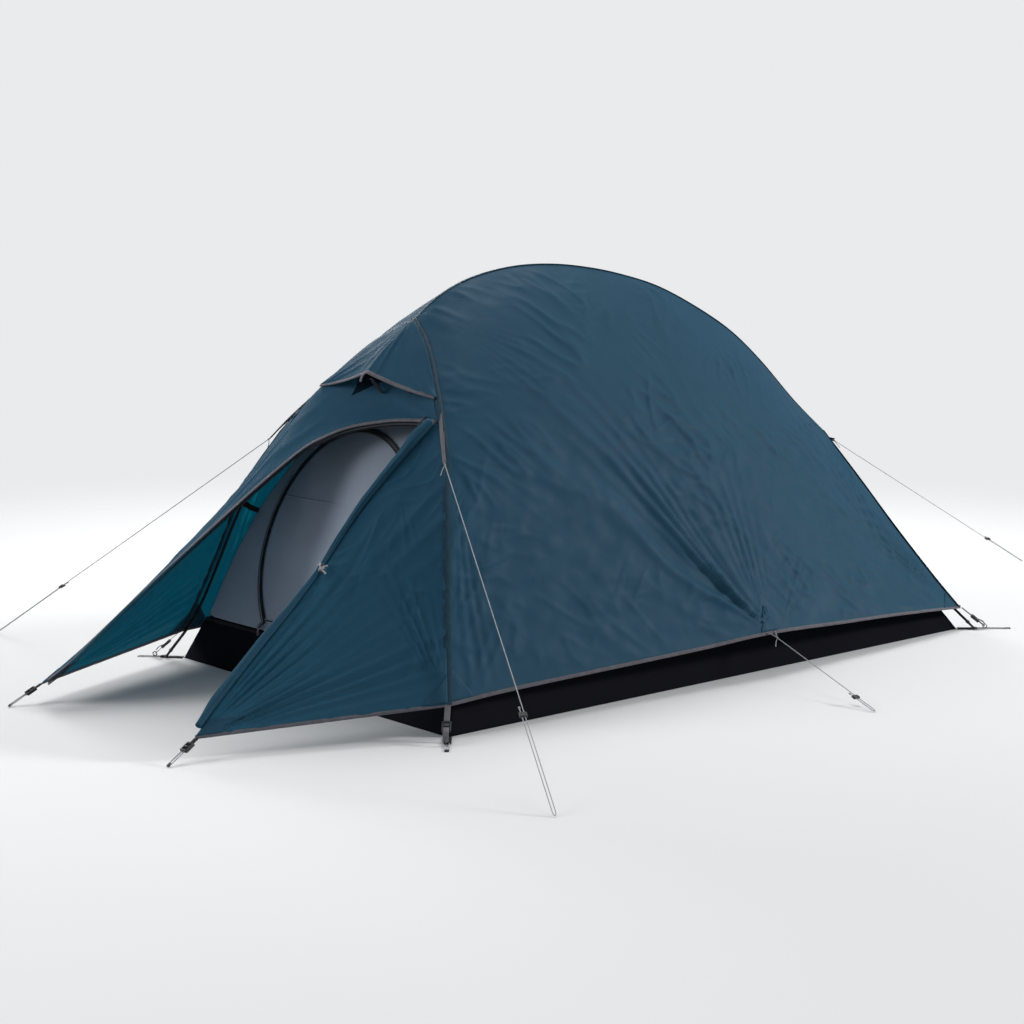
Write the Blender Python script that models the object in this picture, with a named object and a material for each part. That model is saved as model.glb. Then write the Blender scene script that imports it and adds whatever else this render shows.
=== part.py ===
# Two-person dome tent on a hubbed pole set, with a peg-out vestibule.
# The frame: +Z up, the entrance faces -Y, and the entrance door rolls to the +X side.
# The origin is on the ground under the middle of the whole tent.
import bmesh
import bpy
from math import acos, asin, cos, pi, radians, sin
from mathutils import Matrix, Vector

# Driving dimensions, metres
floor_width = 1.25
floor_length = 2.10
front_line = -0.7737        # y of the tub's front edge
tub_height = 0.122
hub_height = 1.020          # fabric over the front hub
hem_height = 0.085
fabric = 0.0006
tub_cloth_thick = 0.0008
pole_radius = 0.00425
pole_wall = 0.0006
cord_radius = 0.00125
touch = 0.0004              # the gap between touching pieces
seam_gap = 0.005            # half the gap between two panels at a seam
half_width = floor_width / 2

fly_blue = (0.040, 0.095, 0.145)
inner_grey = (0.075, 0.085, 0.120)
tub_black = (0.012, 0.012, 0.014)
pole_black = (0.020, 0.021, 0.023)
plastic_black = (0.012, 0.012, 0.013)
webbing_grey = (0.120, 0.115, 0.125)
cord_grey = (0.420, 0.430, 0.440)


def at(x, y, z):
    """A point whose y counts from the tub's front edge."""
    return Vector((x, front_line + y, z))


def flip(points):
    """The same points on the other side of the tent."""
    return [Vector((-p.x, p.y, p.z)) for p in points]


def smooth(points, count):
    """Points evenly spaced along a Catmull-Rom curve through the given ones."""
    ends = [2 * points[0] - points[1]] + points + [2 * points[-1] - points[-2]]
    fine = []
    for i in range(1, len(ends) - 2):
        a, b, c, d = ends[i - 1:i + 3]
        for step in range(16):
            t = step / 16
            fine.append(0.5 * (2 * b + (c - a) * t + (2 * a - 5 * b + 4 * c - d) * t ** 2
                               + (3 * b - a - 3 * c + d) * t ** 3))
    fine.append(points[-1].copy())
    return spaced(fine, count)


def spaced(line, count):
    """Points evenly spaced along a polyline."""
    lengths = [0.0]
    for a, b in zip(line, line[1:]):
        lengths.append(lengths[-1] + (b - a).length)
    result = []
    i = 0
    for n in range(count):
        goal = lengths[-1] * n / (count - 1)
        while i < len(line) - 2 and lengths[i + 1] < goal:
            i += 1
        span = max(lengths[i + 1] - lengths[i], 1e-9)
        result.append(line[i].lerp(line[i + 1], min(max((goal - lengths[i]) / span, 0), 1)))
    return result


def along(line, t):
    """The point at share t of an evenly spaced line."""
    place = min(max(t, 0.0), 1.0) * (len(line) - 1)
    i = min(int(place), len(line) - 2)
    return line[i].lerp(line[i + 1], place - i)


# The lines that the fabric hangs on, right side; the left side mirrors them
front_hub_top = at(0, 0.390, hub_height)
rear_hub_top = at(0, 2.165, 0.580)
front_hem = at(0.626, 0.000, hem_height)
rear_hem = at(0.622, 2.118, 0.068)
guy_seam = at(0.389, 0.187, 0.674)
wing_top = at(0.312, 0.236, 0.772)
vestibule_corner = at(0.385, -0.600, 0.055)

front_seam = smooth([front_hem, at(0.545, 0.062, 0.302), at(0.468, 0.124, 0.529), guy_seam,
                     at(0.357, 0.208, 0.718), at(0.271, 0.259, 0.818), at(0.152, 0.325, 0.931),
                     at(0.060, 0.368, 0.991), front_hub_top], 61)
rear_seam = smooth([rear_hem, at(0.500, 2.128, 0.160), at(0.330, 2.142, 0.298),
                    at(0.165, 2.155, 0.440), rear_hub_top], 31)
ridge = smooth([front_hub_top, at(0, 0.481, 1.086), at(0, 0.600, 1.135), at(0, 0.750, 1.164),
                at(0, 0.900, 1.170), at(0, 1.050, 1.158), at(0, 1.200, 1.133), at(0, 1.367, 1.090),
                at(0, 1.551, 1.014), at(0, 1.700, 0.936), at(0, 1.841, 0.835), at(0, 2.007, 0.696),
                rear_hub_top], 81)
hem = smooth([front_hem, at(0.632, 0.227, 0.095), at(0.645, 0.663, 0.104), at(0.655, 0.900, 0.110),
              at(0.668, 1.177, 0.120), at(0.652, 1.500, 0.104), at(0.640, 1.790, 0.090), rear_hem], 61)
wing_ridge = smooth([vestibule_corner, at(0.352, -0.448, 0.172), at(0.322, -0.207, 0.370),
                     at(0.290, 0.005, 0.565), wing_top], 41)
zip_line = smooth([at(0.298, 0.236, 0.766), at(0.192, 0.231, 0.762), at(0.093, 0.220, 0.753),
                   at(-0.030, 0.189, 0.729), at(-0.099, 0.151, 0.699), at(-0.150, 0.101, 0.659),
                   at(-0.194, -0.038, 0.549), at(-0.235, -0.248, 0.383), at(-0.262, -0.420, 0.247),
                   at(-0.300, -0.545, 0.130), at(-0.365, -0.592, 0.066)], 61)


def clear():
    for item in list(bpy.data.objects):
        bpy.data.objects.remove(item, do_unlink=True)


def finish(name, colour, roughness=0.6, metallic=0.0):
    material = bpy.data.materials.new(name)
    material.use_nodes = True
    shader = material.node_tree.nodes["Principled BSDF"]
    shader.inputs["Base Color"].default_value = (*colour, 1)
    shader.inputs["Roughness"].default_value = roughness
    shader.inputs["Metallic"].default_value = metallic
    return material


def add(name, data, material, origin=None):
    """Put a mesh or curve in the scene, its origin on the joint's axis when one is given."""
    item = bpy.data.objects.new(name, data)
    bpy.context.scene.collection.objects.link(item)
    data.materials.append(material)
    if origin is not None:
        data.transform(Matrix.Translation(-origin))
        item.location = origin
    if item.type == "MESH":
        data.shade_smooth()
        data.set_sharp_from_angle(angle=radians(35))
    return item


def from_bmesh(name, bm, material, origin=None):
    bmesh.ops.recalc_face_normals(bm, faces=bm.faces)
    mesh = bpy.data.meshes.new(name)
    bm.to_mesh(mesh)
    bm.free()
    return add(name, mesh, material, origin)


def panel(name, surface, columns, rows, material, origin=None, thickness=fabric):
    """A sheet of fabric: surface(u, v) gives its middle, and Solidify its thickness."""
    bm = bmesh.new()
    bmesh.ops.create_grid(bm, x_segments=columns, y_segments=rows, size=0.5)
    for vertex in bm.verts:
        vertex.co = surface(vertex.co.x + 0.5, vertex.co.y + 0.5)
    mesh = bpy.data.meshes.new(name)
    bm.to_mesh(mesh)
    bm.free()
    sheet = add(name, mesh, material, origin)
    wall = sheet.modifiers.new("wall", "SOLIDIFY")
    wall.thickness = thickness
    wall.offset = 0
    return sheet


def tube(name, points, radius, material, sides=2, wall=0.0, origin=None):
    """A round rod or cord along the points, or a hollow one when it has a wall."""
    curve = bpy.data.curves.new(name, "CURVE")
    curve.dimensions = "3D"
    curve.bevel_depth = radius
    curve.bevel_resolution = sides
    curve.use_fill_caps = wall == 0
    spline = curve.splines.new("POLY")
    spline.points.add(len(points) - 1)
    for point, place in zip(spline.points, points):
        point.co = (*place, 1)
    rod = add(name, curve, material, origin)
    if wall:
        hollow = rod.modifiers.new("hollow", "SOLIDIFY")
        hollow.thickness = wall
        hollow.offset = -1
        hollow.use_even_offset = True
    return rod


def frame_at(place, along_axis, side_axis):
    """A matrix with +Z along the first direction and +X as near the second as it can be."""
    z = along_axis.normalized()
    y = z.cross(side_axis).normalized()
    x = y.cross(z)
    turn = Matrix((x, y, z)).transposed().to_4x4()
    return Matrix.Translation(place) @ turn


def block(bm, size, matrix, bevel=0.0):
    """A box in the bmesh, centred on the matrix, with bevelled edges."""
    made = bmesh.ops.create_cube(bm, size=1, matrix=matrix @ Matrix.Diagonal((*size, 1)))
    if bevel:
        edges = list({edge for vertex in made["verts"] for edge in vertex.link_edges})
        bmesh.ops.bevel(bm, geom=edges, offset=bevel, segments=1, affect="EDGES", profile=0.5)


def rod_mesh(bm, radius, length, matrix, sides=12):
    """A cylinder in the bmesh, standing on the matrix along its +Z."""
    bmesh.ops.create_cone(bm, cap_ends=True, segments=sides, radius1=radius, radius2=radius,
                          depth=length, matrix=matrix @ Matrix.Translation((0, 0, length / 2)))


def solid(name, draw, material, origin=None):
    bm = bmesh.new()
    draw(bm)
    return from_bmesh(name, bm, material, origin)


def cut(item, name, draw, operation="DIFFERENCE"):
    """Cut or join another shape with a Boolean; the cutter stays as a guide."""
    guide = solid(name, draw, item.data.materials[0])
    guide.hide_render = True
    guide.display_type = "WIRE"
    step = item.modifiers.new(name, "BOOLEAN")
    step.object = guide
    step.operation = operation
    step.solver = "EXACT"
    return item


# Pole set

pole_inset = Vector((0.012, -0.004, 0.013))     # from the fabric's seam in to the pole
spine_drop = 0.020          # from the ridge down to the spine pole's middle
socket_depth = 0.030
socket_radius = 0.0080
bore_radius = 0.0050
hub_half = 0.012            # from the hub's middle to where a socket's floor is
hub_disc_radius = 0.0165
hub_disc_height = 0.017
clearance = 0.001           # how far a cutter runs past what it cuts


def leg_line():
    """The right front leg's middle line, from its tip up to the hub."""
    path = [p - pole_inset for p in front_seam[:57]]
    foot = at(0.6500, -0.0280, 0.0260)
    line = [foot] + path
    return smooth([line[0], line[4], line[12], line[20], line[28], line[36], line[44], line[50],
                   line[54]], 19)


def rear_leg_line():
    inset = Vector((0.010, 0.012, 0.014))
    path = [p - inset for p in rear_seam]
    foot = at(0.6470, 2.1240, 0.0260)
    return smooth([foot, path[3], path[10], path[17], path[24], path[28]], 9)


def pole_set(metal, plastic):
    front_hub = front_hub_top - Vector((0, -0.002, 0.024))
    rear_hub = rear_hub_top - Vector((0, 0.016, 0.022))
    spine = [p - Vector((0, 0, spine_drop)) for p in ridge]
    spine = smooth([spine[2], spine[8], spine[18], spine[28], spine[38], spine[48], spine[58],
                    spine[68], spine[76]], 34)
    legs = {1: leg_line(), -1: flip(leg_line())}
    rear_legs = {1: rear_leg_line(), -1: flip(rear_leg_line())}
    hub("front_hub", front_hub, [legs[1][-1], legs[-1][-1], spine[0]], plastic)
    hub("rear_hub", rear_hub, [rear_legs[1][-1], rear_legs[-1][-1], spine[-1]], plastic)
    spine = seated(spine, front_hub, rear_hub)
    split("spine_pole", spine, ("front", "middle", "rear"), metal)
    tube("spine_shock_cord", inner_cord(spine), cord_radius, finish("shock_cord", (0.5, 0.5, 0.5)))
    for side, mark in ((1, "right"), (-1, "left")):
        leg = seated(legs[side], None, front_hub)
        split("front_leg", leg, ("lower_" + mark, "upper_" + mark), metal)
        rear = seated(rear_legs[side], None, rear_hub)
        tube("rear_leg_" + mark, rear, pole_radius, metal, wall=pole_wall)
        pole_tip("pole_tip_front_" + mark, leg, plastic)
        pole_tip("pole_tip_rear_" + mark, rear, plastic)


def seated(line, first_hub, last_hub):
    """The line with its ends run straight down the sockets, stopped clear of the hub's middle."""
    points = list(line)
    if first_hub is not None:
        way = (points[0] - first_hub).normalized()
        points = [first_hub + way * hub_half, first_hub + way * (hub_half + socket_depth)] + points[2:]
    if last_hub is not None:
        way = (points[-1] - last_hub).normalized()
        points = points[:-2] + [last_hub + way * (hub_half + socket_depth), last_hub + way * hub_half]
    return points


def inner_cord(spine):
    """The elastic inside the spine, ending just short of both hubs."""
    return [spine[0].lerp(spine[1], 0.2)] + spine[1:-1] + [spine[-1].lerp(spine[-2], 0.2)]


def split(name, line, marks, metal):
    """Pole sections end to end, a hair apart."""
    share = (len(line) - 1) // len(marks)
    for i, mark in enumerate(marks):
        last = len(line) if i == len(marks) - 1 else (i + 1) * share + 1
        part = [p.copy() for p in line[i * share:last]]
        if i:
            part[0] = part[0] + (part[1] - part[0]).normalized() * touch
        tube(name + "_" + mark, part, pole_radius, metal, wall=pole_wall)


def hub(name, centre, ends, plastic):
    """A three-armed hub: a puck with a socket for each pole."""
    arms = []
    for end in ends:
        way = (end - centre).normalized()
        arms.append(frame_at(centre, way, Vector((0, 1, 0.3))))
    normal = (ends[0] - centre).normalized().cross((ends[1] - centre).normalized())

    def puck(bm):
        low = centre - normal.normalized() * hub_disc_height / 2
        rod_mesh(bm, hub_disc_radius, hub_disc_height, frame_at(low, normal, Vector((0, 0.2, 1))), 16)

    body = solid(name, puck, plastic)
    for i, arm in enumerate(arms):
        cut(body, name + "_arm_guide%d" % i, lambda bm, arm=arm: rod_mesh(
            bm, socket_radius, hub_half + socket_depth, arm, 12), "UNION")
    for i, arm in enumerate(arms):
        bore = arm @ Matrix.Translation((0, 0, hub_half - clearance))
        cut(body, name + "_bore_guide%d" % i, lambda bm, bore=bore: rod_mesh(
            bm, bore_radius, socket_depth + 10 * clearance, bore, 12))


def pole_tip(name, line, plastic):
    """A moulded tip that plugs the pole's end and stands on the ground in the corner's grommet."""
    way = (line[0] - line[1]).normalized()
    place = frame_at(line[0] + way * touch, way, Vector((0, 1, 0)))
    reach = (line[0].z - 0.0052) / -way.z
    profile = ((0.0, 0.0), (0.0056, 0.0), (0.0056, 0.006), (0.0040, 0.009),
               (0.0032, reach - 0.004), (0.0044, reach - 0.002), (0.0047, reach),
               (0.0036, reach + 0.003), (0.0, reach + 0.0046))

    def draw(bm):
        start = [bm.verts.new((r, 0, z)) for r, z in profile]
        edges = [bm.edges.new(pair) for pair in zip(start, start[1:])]
        bmesh.ops.spin(bm, geom=start + edges, cent=(0, 0, 0), axis=(0, 0, 1), angle=2 * pi,
                       steps=12, use_merge=True)
        bmesh.ops.remove_doubles(bm, verts=bm.verts, dist=1e-6)
        bmesh.ops.transform(bm, matrix=place, verts=bm.verts)

    solid(name, draw, plastic)


# Flysheet

def side_surface(sign):
    """One long side: a Coons patch on the two leg seams, the ridge and the hem."""
    corners = (front_hem, rear_hem, front_hub_top, rear_hub_top)

    def surface(u, v):
        u = 0.004 + 0.992 * u
        v = 0.002 + 0.989 * v
        low, high = along(hem, u), along(ridge, u)
        front, rear = along(front_seam, v), along(rear_seam, v)
        flat = (corners[0].lerp(corners[1], u)).lerp(corners[2].lerp(corners[3], u), v)
        place = low.lerp(high, v) + front.lerp(rear, u) - flat
        return Vector((place.x * sign, place.y, place.z))

    return surface


def rear_surface(u, v):
    """The foot end, between the two rear legs."""
    seam = along(rear_seam, 0.02 + 0.95 * v)
    across = (2 * u - 1) * (seam.x - seam_gap)
    bulge = 0.020 * (1 - (2 * u - 1) ** 2) * sin(pi * v)
    return Vector((across, seam.y + 0.008 + bulge, seam.z))


def wing_surface(sign):
    """A vestibule side, from the leg seam out to the pegged ridge."""
    top = 37 / 60 * 0.985       # where the wing stops on the leg seam

    def surface(u, v):
        v = 0.004 + 0.976 * v
        seam = along(front_seam, v * top)
        outer = along(wing_ridge, v)
        way = (outer - seam)
        edge = min(0.45, seam_gap / max(way.length, 1e-6))
        place = seam.lerp(outer, edge + u * (1 - 2 * edge))
        sag = 0.010 * sin(pi * u) * sin(pi * v)
        return Vector(((place.x + sag * -0.6) * sign, place.y - 0.002, place.z))

    return surface


def front_surface(u, v):
    """The vestibule's fixed front: from the zip up to the leg arch, and down to the left corner."""
    lower = along(zip_line, u)
    if u < 0.46:
        t = u / 0.46
        arch = 0.655 + 0.345 * min(2 * t, 2 - 2 * t)
        upper = along(front_seam, arch)
        upper = Vector((upper.x if t < 0.5 else -upper.x, upper.y - 0.012, upper.z - 0.010))
    else:
        upper = along(wing_ridge, 1 - (u - 0.46) / 0.54)
        upper = Vector((-upper.x + 0.007, upper.y - 0.006, upper.z))
    v = 0.03 + 0.94 * v
    place = lower.lerp(upper, v)
    dip = 0.032 * sin(pi * v) * max(0, sin(pi * min(u / 0.46, 1)))
    return Vector((place.x, place.y + 0.30 * dip, place.z - dip))


hood_end = 0.715        # share of the leg seam where the hood's edge meets it
hood_peak = at(0, 0.226, 0.883)


def hood_surface(u, v):
    """The vent's awning: from the leg arch forward to an edge that peaks in the middle."""
    t = 2 * u - 1
    spread = abs(t) * 0.97
    arch = along(front_seam, 1 - (1 - hood_end) * spread - 0.012)
    side = 1 if t > 0 else -1
    arch = Vector((side * arch.x if abs(t) > 1e-6 else 0, arch.y - 0.005, arch.z + 0.001))
    end = along(front_seam, hood_end)
    edge = hood_peak.lerp(Vector((side * end.x, end.y - 0.010, end.z)), spread)
    place = arch.lerp(edge, 0.01 + 0.99 * v)
    return place + Vector((0, -0.003, 0.004)) * sin(pi * v)


def flysheet(cloth):
    for sign, mark in ((1, "right"), (-1, "left")):
        panel("fly_side_" + mark, side_surface(sign), 20, 10, cloth)
        hinge = hem_hinge if sign > 0 else None
        panel("vestibule_wing_" + mark, wing_surface(sign), 6, 14, cloth, hinge)
    panel("fly_rear", rear_surface, 8, 8, cloth)
    panel("vestibule_front", front_surface, 24, 5, cloth)
    panel("vent_hood", hood_surface, 12, 5, cloth)


# The rolled entrance door, its toggle and the vent prop

hem_hinge = at(0.626, 0.000, hem_height)
toggle_share = 0.515        # share of the way up the wing's ridge
roll_radius = 0.0115
roll_swell = 0.006          # how much thicker the roll is at its top
roll_side = Vector((-1, -1, 1)).normalized()        # from the ridge out to the roll
roll_gap = 0.003
toggle_reach = Vector((0.0150, -0.0150, 0.0060))    # from the ridge out to the toggle
toggle_length = 0.024
toggle_radius = 0.0028


def rolled_door(cloth):
    """The door gathered into a slim roll along the right vestibule ridge, pinched at its toggle."""
    steps = len(wing_ridge) - 1
    radii = []
    path = []
    for i in range(2, steps):
        t = i / steps
        pinch = 1 - 0.42 * max(0, 1 - abs(t - toggle_share) / 0.12)
        radii.append((roll_radius + roll_swell * max(0, (t - 0.7) / 0.3)) * pinch)
        path.append(wing_ridge[i] + roll_side * (radii[-1] + roll_gap))
    curve = bpy.data.curves.new("rolled_door", "CURVE")
    curve.dimensions = "3D"
    curve.bevel_depth = 1.0
    curve.bevel_resolution = 3
    curve.use_fill_caps = True
    spline = curve.splines.new("POLY")
    spline.points.add(len(path) - 1)
    for point, place, radius in zip(spline.points, path, radii):
        point.co = (*place, 1)
        point.radius = radius
    add("rolled_door", curve, cloth, hem_hinge)


def door_toggle(plastic):
    """The little bar that holds the roll, standing off its elastic loop."""
    place = along(wing_ridge, toggle_share) + toggle_reach
    run = Vector((0.2, 0.1, 1)).normalized()
    bar = frame_at(place - run * toggle_length / 2, run, Vector((1, 0, 0)))
    solid("door_toggle", lambda bm: rod_mesh(bm, toggle_radius, toggle_length, bar, 10), plastic, place)


def vent_prop(plastic):
    """A stiff flap that holds the hood's peak up off the door's top."""
    top = prop_hinge + Vector((0, 0.003, -0.006))
    foot = at(0.0, 0.276, 0.822)
    middle = top.lerp(foot, 0.5)
    place = frame_at(middle, foot - top, Vector((1, 0, 0)))
    solid("vent_prop", lambda bm: block(bm, (0.018, 0.0022, (foot - top).length), place, 0.0006),
          plastic, prop_hinge)


prop_hinge = at(0, 0.234, 0.870)


def zip_slider(name, place, normal, pull, metal, origin=None):
    """A slider body with its pull tab, lying on the fabric's outer face."""
    body = frame_at(place, normal, pull)
    tab = frame_at(place + pull.normalized() * 0.019 + normal.normalized() * 0.0006, normal, pull)

    def draw(bm):
        block(bm, (0.011, 0.008, 0.0045), body, 0.001)

    item = solid(name, draw, metal, origin)
    cut(item, name + "_tab_guide", lambda bm: block(bm, (0.030, 0.0045, 0.0018), tab, 0.0004), "UNION")


# Inner tent

tub_front_top = at(0.576, 0.048, tub_height)
tub_rear_top = at(0.552, 2.052, 0.104)
wall_low = Vector((0, 0.052, 0.128))        # y and z of the front wall's foot
wall_slope = 0.380                          # how far the front wall leans back for each metre up
door_centre = Vector((-0.063, 0, 0.391))
door_radius = 0.320
door_hinge_x = 0.210
door_sill = 0.157
inner_gap = 0.0025


def wall_point(x, z, out=0.0):
    """A point on the inner front wall, or in front of it."""
    lean = Vector((0, -1, wall_slope)).normalized() * out
    return at(x, wall_low.y + (z - wall_low.z) * wall_slope, z) + lean


inner_arch = smooth([wall_point(0.568, 0.130), wall_point(0.530, 0.300), wall_point(0.460, 0.469),
                     wall_point(0.346, 0.625), wall_point(0.232, 0.740), wall_point(0.115, 0.846),
                     wall_point(0.0, 0.930)], 41)
inner_rear = smooth([at(0.546, 2.048, 0.112), at(0.370, 2.064, 0.235), at(0.190, 2.084, 0.360),
                     at(0.0, 2.104, 0.492)], 21)
inner_ridge = smooth([inner_arch[-1], at(0, 0.600, 1.045), at(0, 0.850, 1.090), at(0, 1.100, 1.068),
                      at(0, 1.380, 0.970), at(0, 1.800, 0.728), inner_rear[-1]], 41)
inner_foot = spaced([inner_arch[0], inner_rear[0]], 21)


def inner_side_surface(sign):
    corners = (inner_arch[0], inner_rear[0], inner_arch[-1], inner_rear[-1])

    def surface(u, v):
        u = 0.006 + 0.988 * u
        v = 0.004 + 0.988 * v
        low, high = along(inner_foot, u), along(inner_ridge, u)
        front, rear = along(inner_arch, v), along(inner_rear, v)
        flat = (corners[0].lerp(corners[1], u)).lerp(corners[2].lerp(corners[3], u), v)
        place = low.lerp(high, v) + front.lerp(rear, u) - flat
        return Vector((place.x * sign, place.y, place.z))

    return surface


def inner_end_surface(line, out):
    """An end wall between the left and right copies of a line."""
    def surface(u, v):
        edge = along(line, 0.004 + 0.970 * v)
        return Vector(((2 * u - 1) * (edge.x - 0.003), edge.y + out, edge.z))
    return surface


def door_outline(shrink):
    """The D-shaped door in x and z: a long arc, a straight sill and a straight hinge side."""
    radius = door_radius - shrink
    hinge = door_hinge_x - shrink
    sill = door_sill + shrink
    start = acos((hinge - door_centre.x) / radius)
    end = pi + asin((door_centre.z - sill) / radius)
    points = []
    for i in range(33):
        angle = start + (end - start) * i / 32
        points.append((door_centre.x + radius * cos(angle), door_centre.z + radius * sin(angle)))
    points.append((hinge, sill))
    return points


def door_prism(shrink):
    def draw(bm):
        face = bm.faces.new([bm.verts.new(wall_point(x, z, -0.05)) for x, z in door_outline(shrink)])
        made = bmesh.ops.extrude_face_region(bm, geom=[face])
        moved = [v for v in made["geom"] if isinstance(v, bmesh.types.BMVert)]
        push = wall_point(0, 0, 0.05) - wall_point(0, 0, -0.05)
        bmesh.ops.translate(bm, verts=moved, vec=push)
    return draw


def inner_tent(cloth, black, plastic):
    for sign, mark in ((1, "right"), (-1, "left")):
        panel("inner_side_" + mark, inner_side_surface(sign), 12, 8, cloth)
    panel("inner_rear", inner_end_surface(inner_rear, 0.004), 8, 6, cloth)
    front = panel("inner_front", inner_end_surface(inner_arch, -0.004), 1, 20, cloth)
    cut(front, "door_hole_guide", door_prism(0.0))
    hinge = wall_point(door_hinge_x, door_sill, 0.003)
    door = panel("inner_door", lambda u, v: wall_point(-0.45 + 0.75 * u, 0.10 + 0.70 * v, 0.0038), 1, 1,
                 cloth, hinge)
    cut(door, "door_shape_guide", door_prism(inner_gap), "INTERSECT")
    tub(black)
    angle = radians(229)
    reach = door_radius - 0.001
    place = wall_point(door_centre.x + reach * cos(angle), door_centre.z + reach * sin(angle), 0.0115)
    centre = wall_point(door_centre.x, door_centre.z, 0.0115)
    normal = Vector((0, -1, wall_slope))
    zip_slider("inner_zip_slider", place, normal, place - centre, plastic, centre)


def tub(black):
    """The waterproof floor, with walls that lean in a little."""
    def draw(bm):
        low, high = [], []
        for x, y in ((-1, 0), (1, 0), (1, 1), (-1, 1)):
            low.append(bm.verts.new(at(x * half_width, y * floor_length, 0)))
            top = tub_rear_top if y else tub_front_top
            high.append(bm.verts.new(Vector((x * top.x, top.y, top.z))))
        bm.faces.new(low)
        for i in range(4):
            bm.faces.new((low[i], low[i - 1], high[i - 1], high[i]))

    floor = solid("tub_floor", draw, black)
    wall = floor.modifiers.new("wall", "SOLIDIFY")
    wall.thickness = tub_cloth_thick
    wall.offset = -1
    wall.use_even_offset = True


# Corners: webbing straps, ladder-lock buckles, grommet tabs with their peg loops

web_width = 0.015
web_thick = 0.0016


buckle_size = (0.024, 0.0085, 0.030)
window_height = 0.0060      # each opening between a buckle's bars
window_shift = 0.0065       # from the buckle's middle to a window's middle
tab_thick = 0.0024
tab_lift = 0.0004           # the tab's underside above the ground
grommet_radius = 0.0068
tab_halves = (0.010, 0.010, 0.0075, 0.0075, 0.0045)     # half widths along the tab
loop_slot = 0.0100          # width of the peg loop's opening


def strap(name, top, foot, material, origin=None):
    way = foot - top
    place = frame_at(top.lerp(foot, 0.5), way, Vector((-way.y, way.x, 0)))
    solid(name, lambda bm: block(bm, (web_width, web_thick, way.length), place), material, origin)


def buckle(name, top, foot, share, plastic):
    """A ladder-lock buckle: a frame with three bars, round the strap that runs through it."""
    way = foot - top
    centre = top.lerp(foot, share)
    place = frame_at(centre, way, Vector((-way.y, way.x, 0)))
    slot = (web_width + 0.0016, web_thick + 0.0020, 2 * buckle_size[2])
    item = solid(name, lambda bm: block(bm, buckle_size, place, 0.002), plastic, centre)
    cut(item, name + "_slot_guide", lambda bm: block(bm, slot, place))
    for i, shift in enumerate((-window_shift, window_shift)):
        window = place @ Matrix.Translation((0, buckle_size[1] / 2, shift))
        cut(item, name + "_window_guide%d" % i, lambda bm, window=window: block(
            bm, (web_width, buckle_size[1], window_height), window))


def corner_tab(name, corner, tip, end, material):
    """Webbing from the tub's corner: a grommet for the pole tip, then a loop for the peg."""
    way = (end - corner).normalized()
    length = (end - corner).length
    start = corner + way * 0.004
    lift = Vector((0, 0, tab_thick / 2 + tab_lift))
    place = frame_at(start + lift, way, Vector((-way.y, way.x, 0)))
    hole = (tip - start).dot(way)

    def draw(bm):
        run = (0.0, hole + 0.016, hole + 0.026, length - 0.010, length - 0.004)
        outline = list(zip(tab_halves, run))
        outline += [(-half, reach) for half, reach in reversed(outline)]
        face = bm.faces.new([bm.verts.new(place @ Vector((x, -tab_thick / 2, z))) for x, z in outline])
        made = bmesh.ops.extrude_face_region(bm, geom=[face])
        moved = [v for v in made["geom"] if isinstance(v, bmesh.types.BMVert)]
        bmesh.ops.translate(bm, verts=moved, vec=place.to_3x3() @ Vector((0, tab_thick, 0)))

    item = solid(name, draw, material)
    grommet = Matrix.Translation((tip.x, tip.y, -0.01))
    cut(item, name + "_grommet_guide", lambda bm: rod_mesh(bm, grommet_radius, 0.03, grommet, 16))
    slot_start, slot_end = hole + 0.020, length - 0.012
    slot = place @ Matrix.Translation((0, 0, (slot_start + slot_end) / 2))
    cut(item, name + "_loop_guide", lambda bm: block(bm, (loop_slot, 0.02, slot_end - slot_start), slot))


# For each end: the hem's corner, then from the tub's front edge the tab's corner, the pole tip's
# grommet, the peg loop's end and the fly strap's foot, and which way is outward
corner_ends = {
    "front": (front_hem, (half_width, 0), (0.6605, -0.0365), (0.7370, -0.0960), (0.690, -0.062), -1),
    "rear": (rear_hem, (half_width, floor_length), (0.6560, 2.1305), (0.7370, 2.2370), (0.690, 2.162), 1),
}
strap_top = (0.008, 0.008, -0.006)      # from the hem's corner to where the strap is sewn on
strap_foot_height = 0.0105
vestibule_strap_top = at(0.392, -0.612, 0.046)
vestibule_strap_foot = at(0.404, -0.6900, 0.0030)
fly_buckle_share = 0.55                 # share of the way down the strap
vestibule_buckle_share = 0.22


def corners(grey, plastic):
    for sign, mark in ((1, "right"), (-1, "left")):
        for end, (rise, corner, tip, loop, foot, outward) in corner_ends.items():
            name = end + "_" + mark
            ground = [at(sign * x, y, 0) for x, y in (corner, tip, loop)]
            corner_tab("corner_tab_" + name, *ground, grey)
            high = rise + Vector((strap_top[0], strap_top[1] * outward, strap_top[2]))
            high.x *= sign
            low = at(sign * foot[0], foot[1], strap_foot_height)
            strap("fly_strap_" + name, high, low, grey)
            buckle("buckle_" + name, high, low, fly_buckle_share, plastic)
        high, low = vestibule_strap_top, vestibule_strap_foot
        if sign < 0:
            high, low = flip([high, low])
        hinge = hem_hinge if sign > 0 else None
        strap("vestibule_strap_" + mark, high, low, grey, hinge)
        buckle("vestibule_buckle_" + mark, high, low, vestibule_buckle_share, plastic)


# Guy lines

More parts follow.
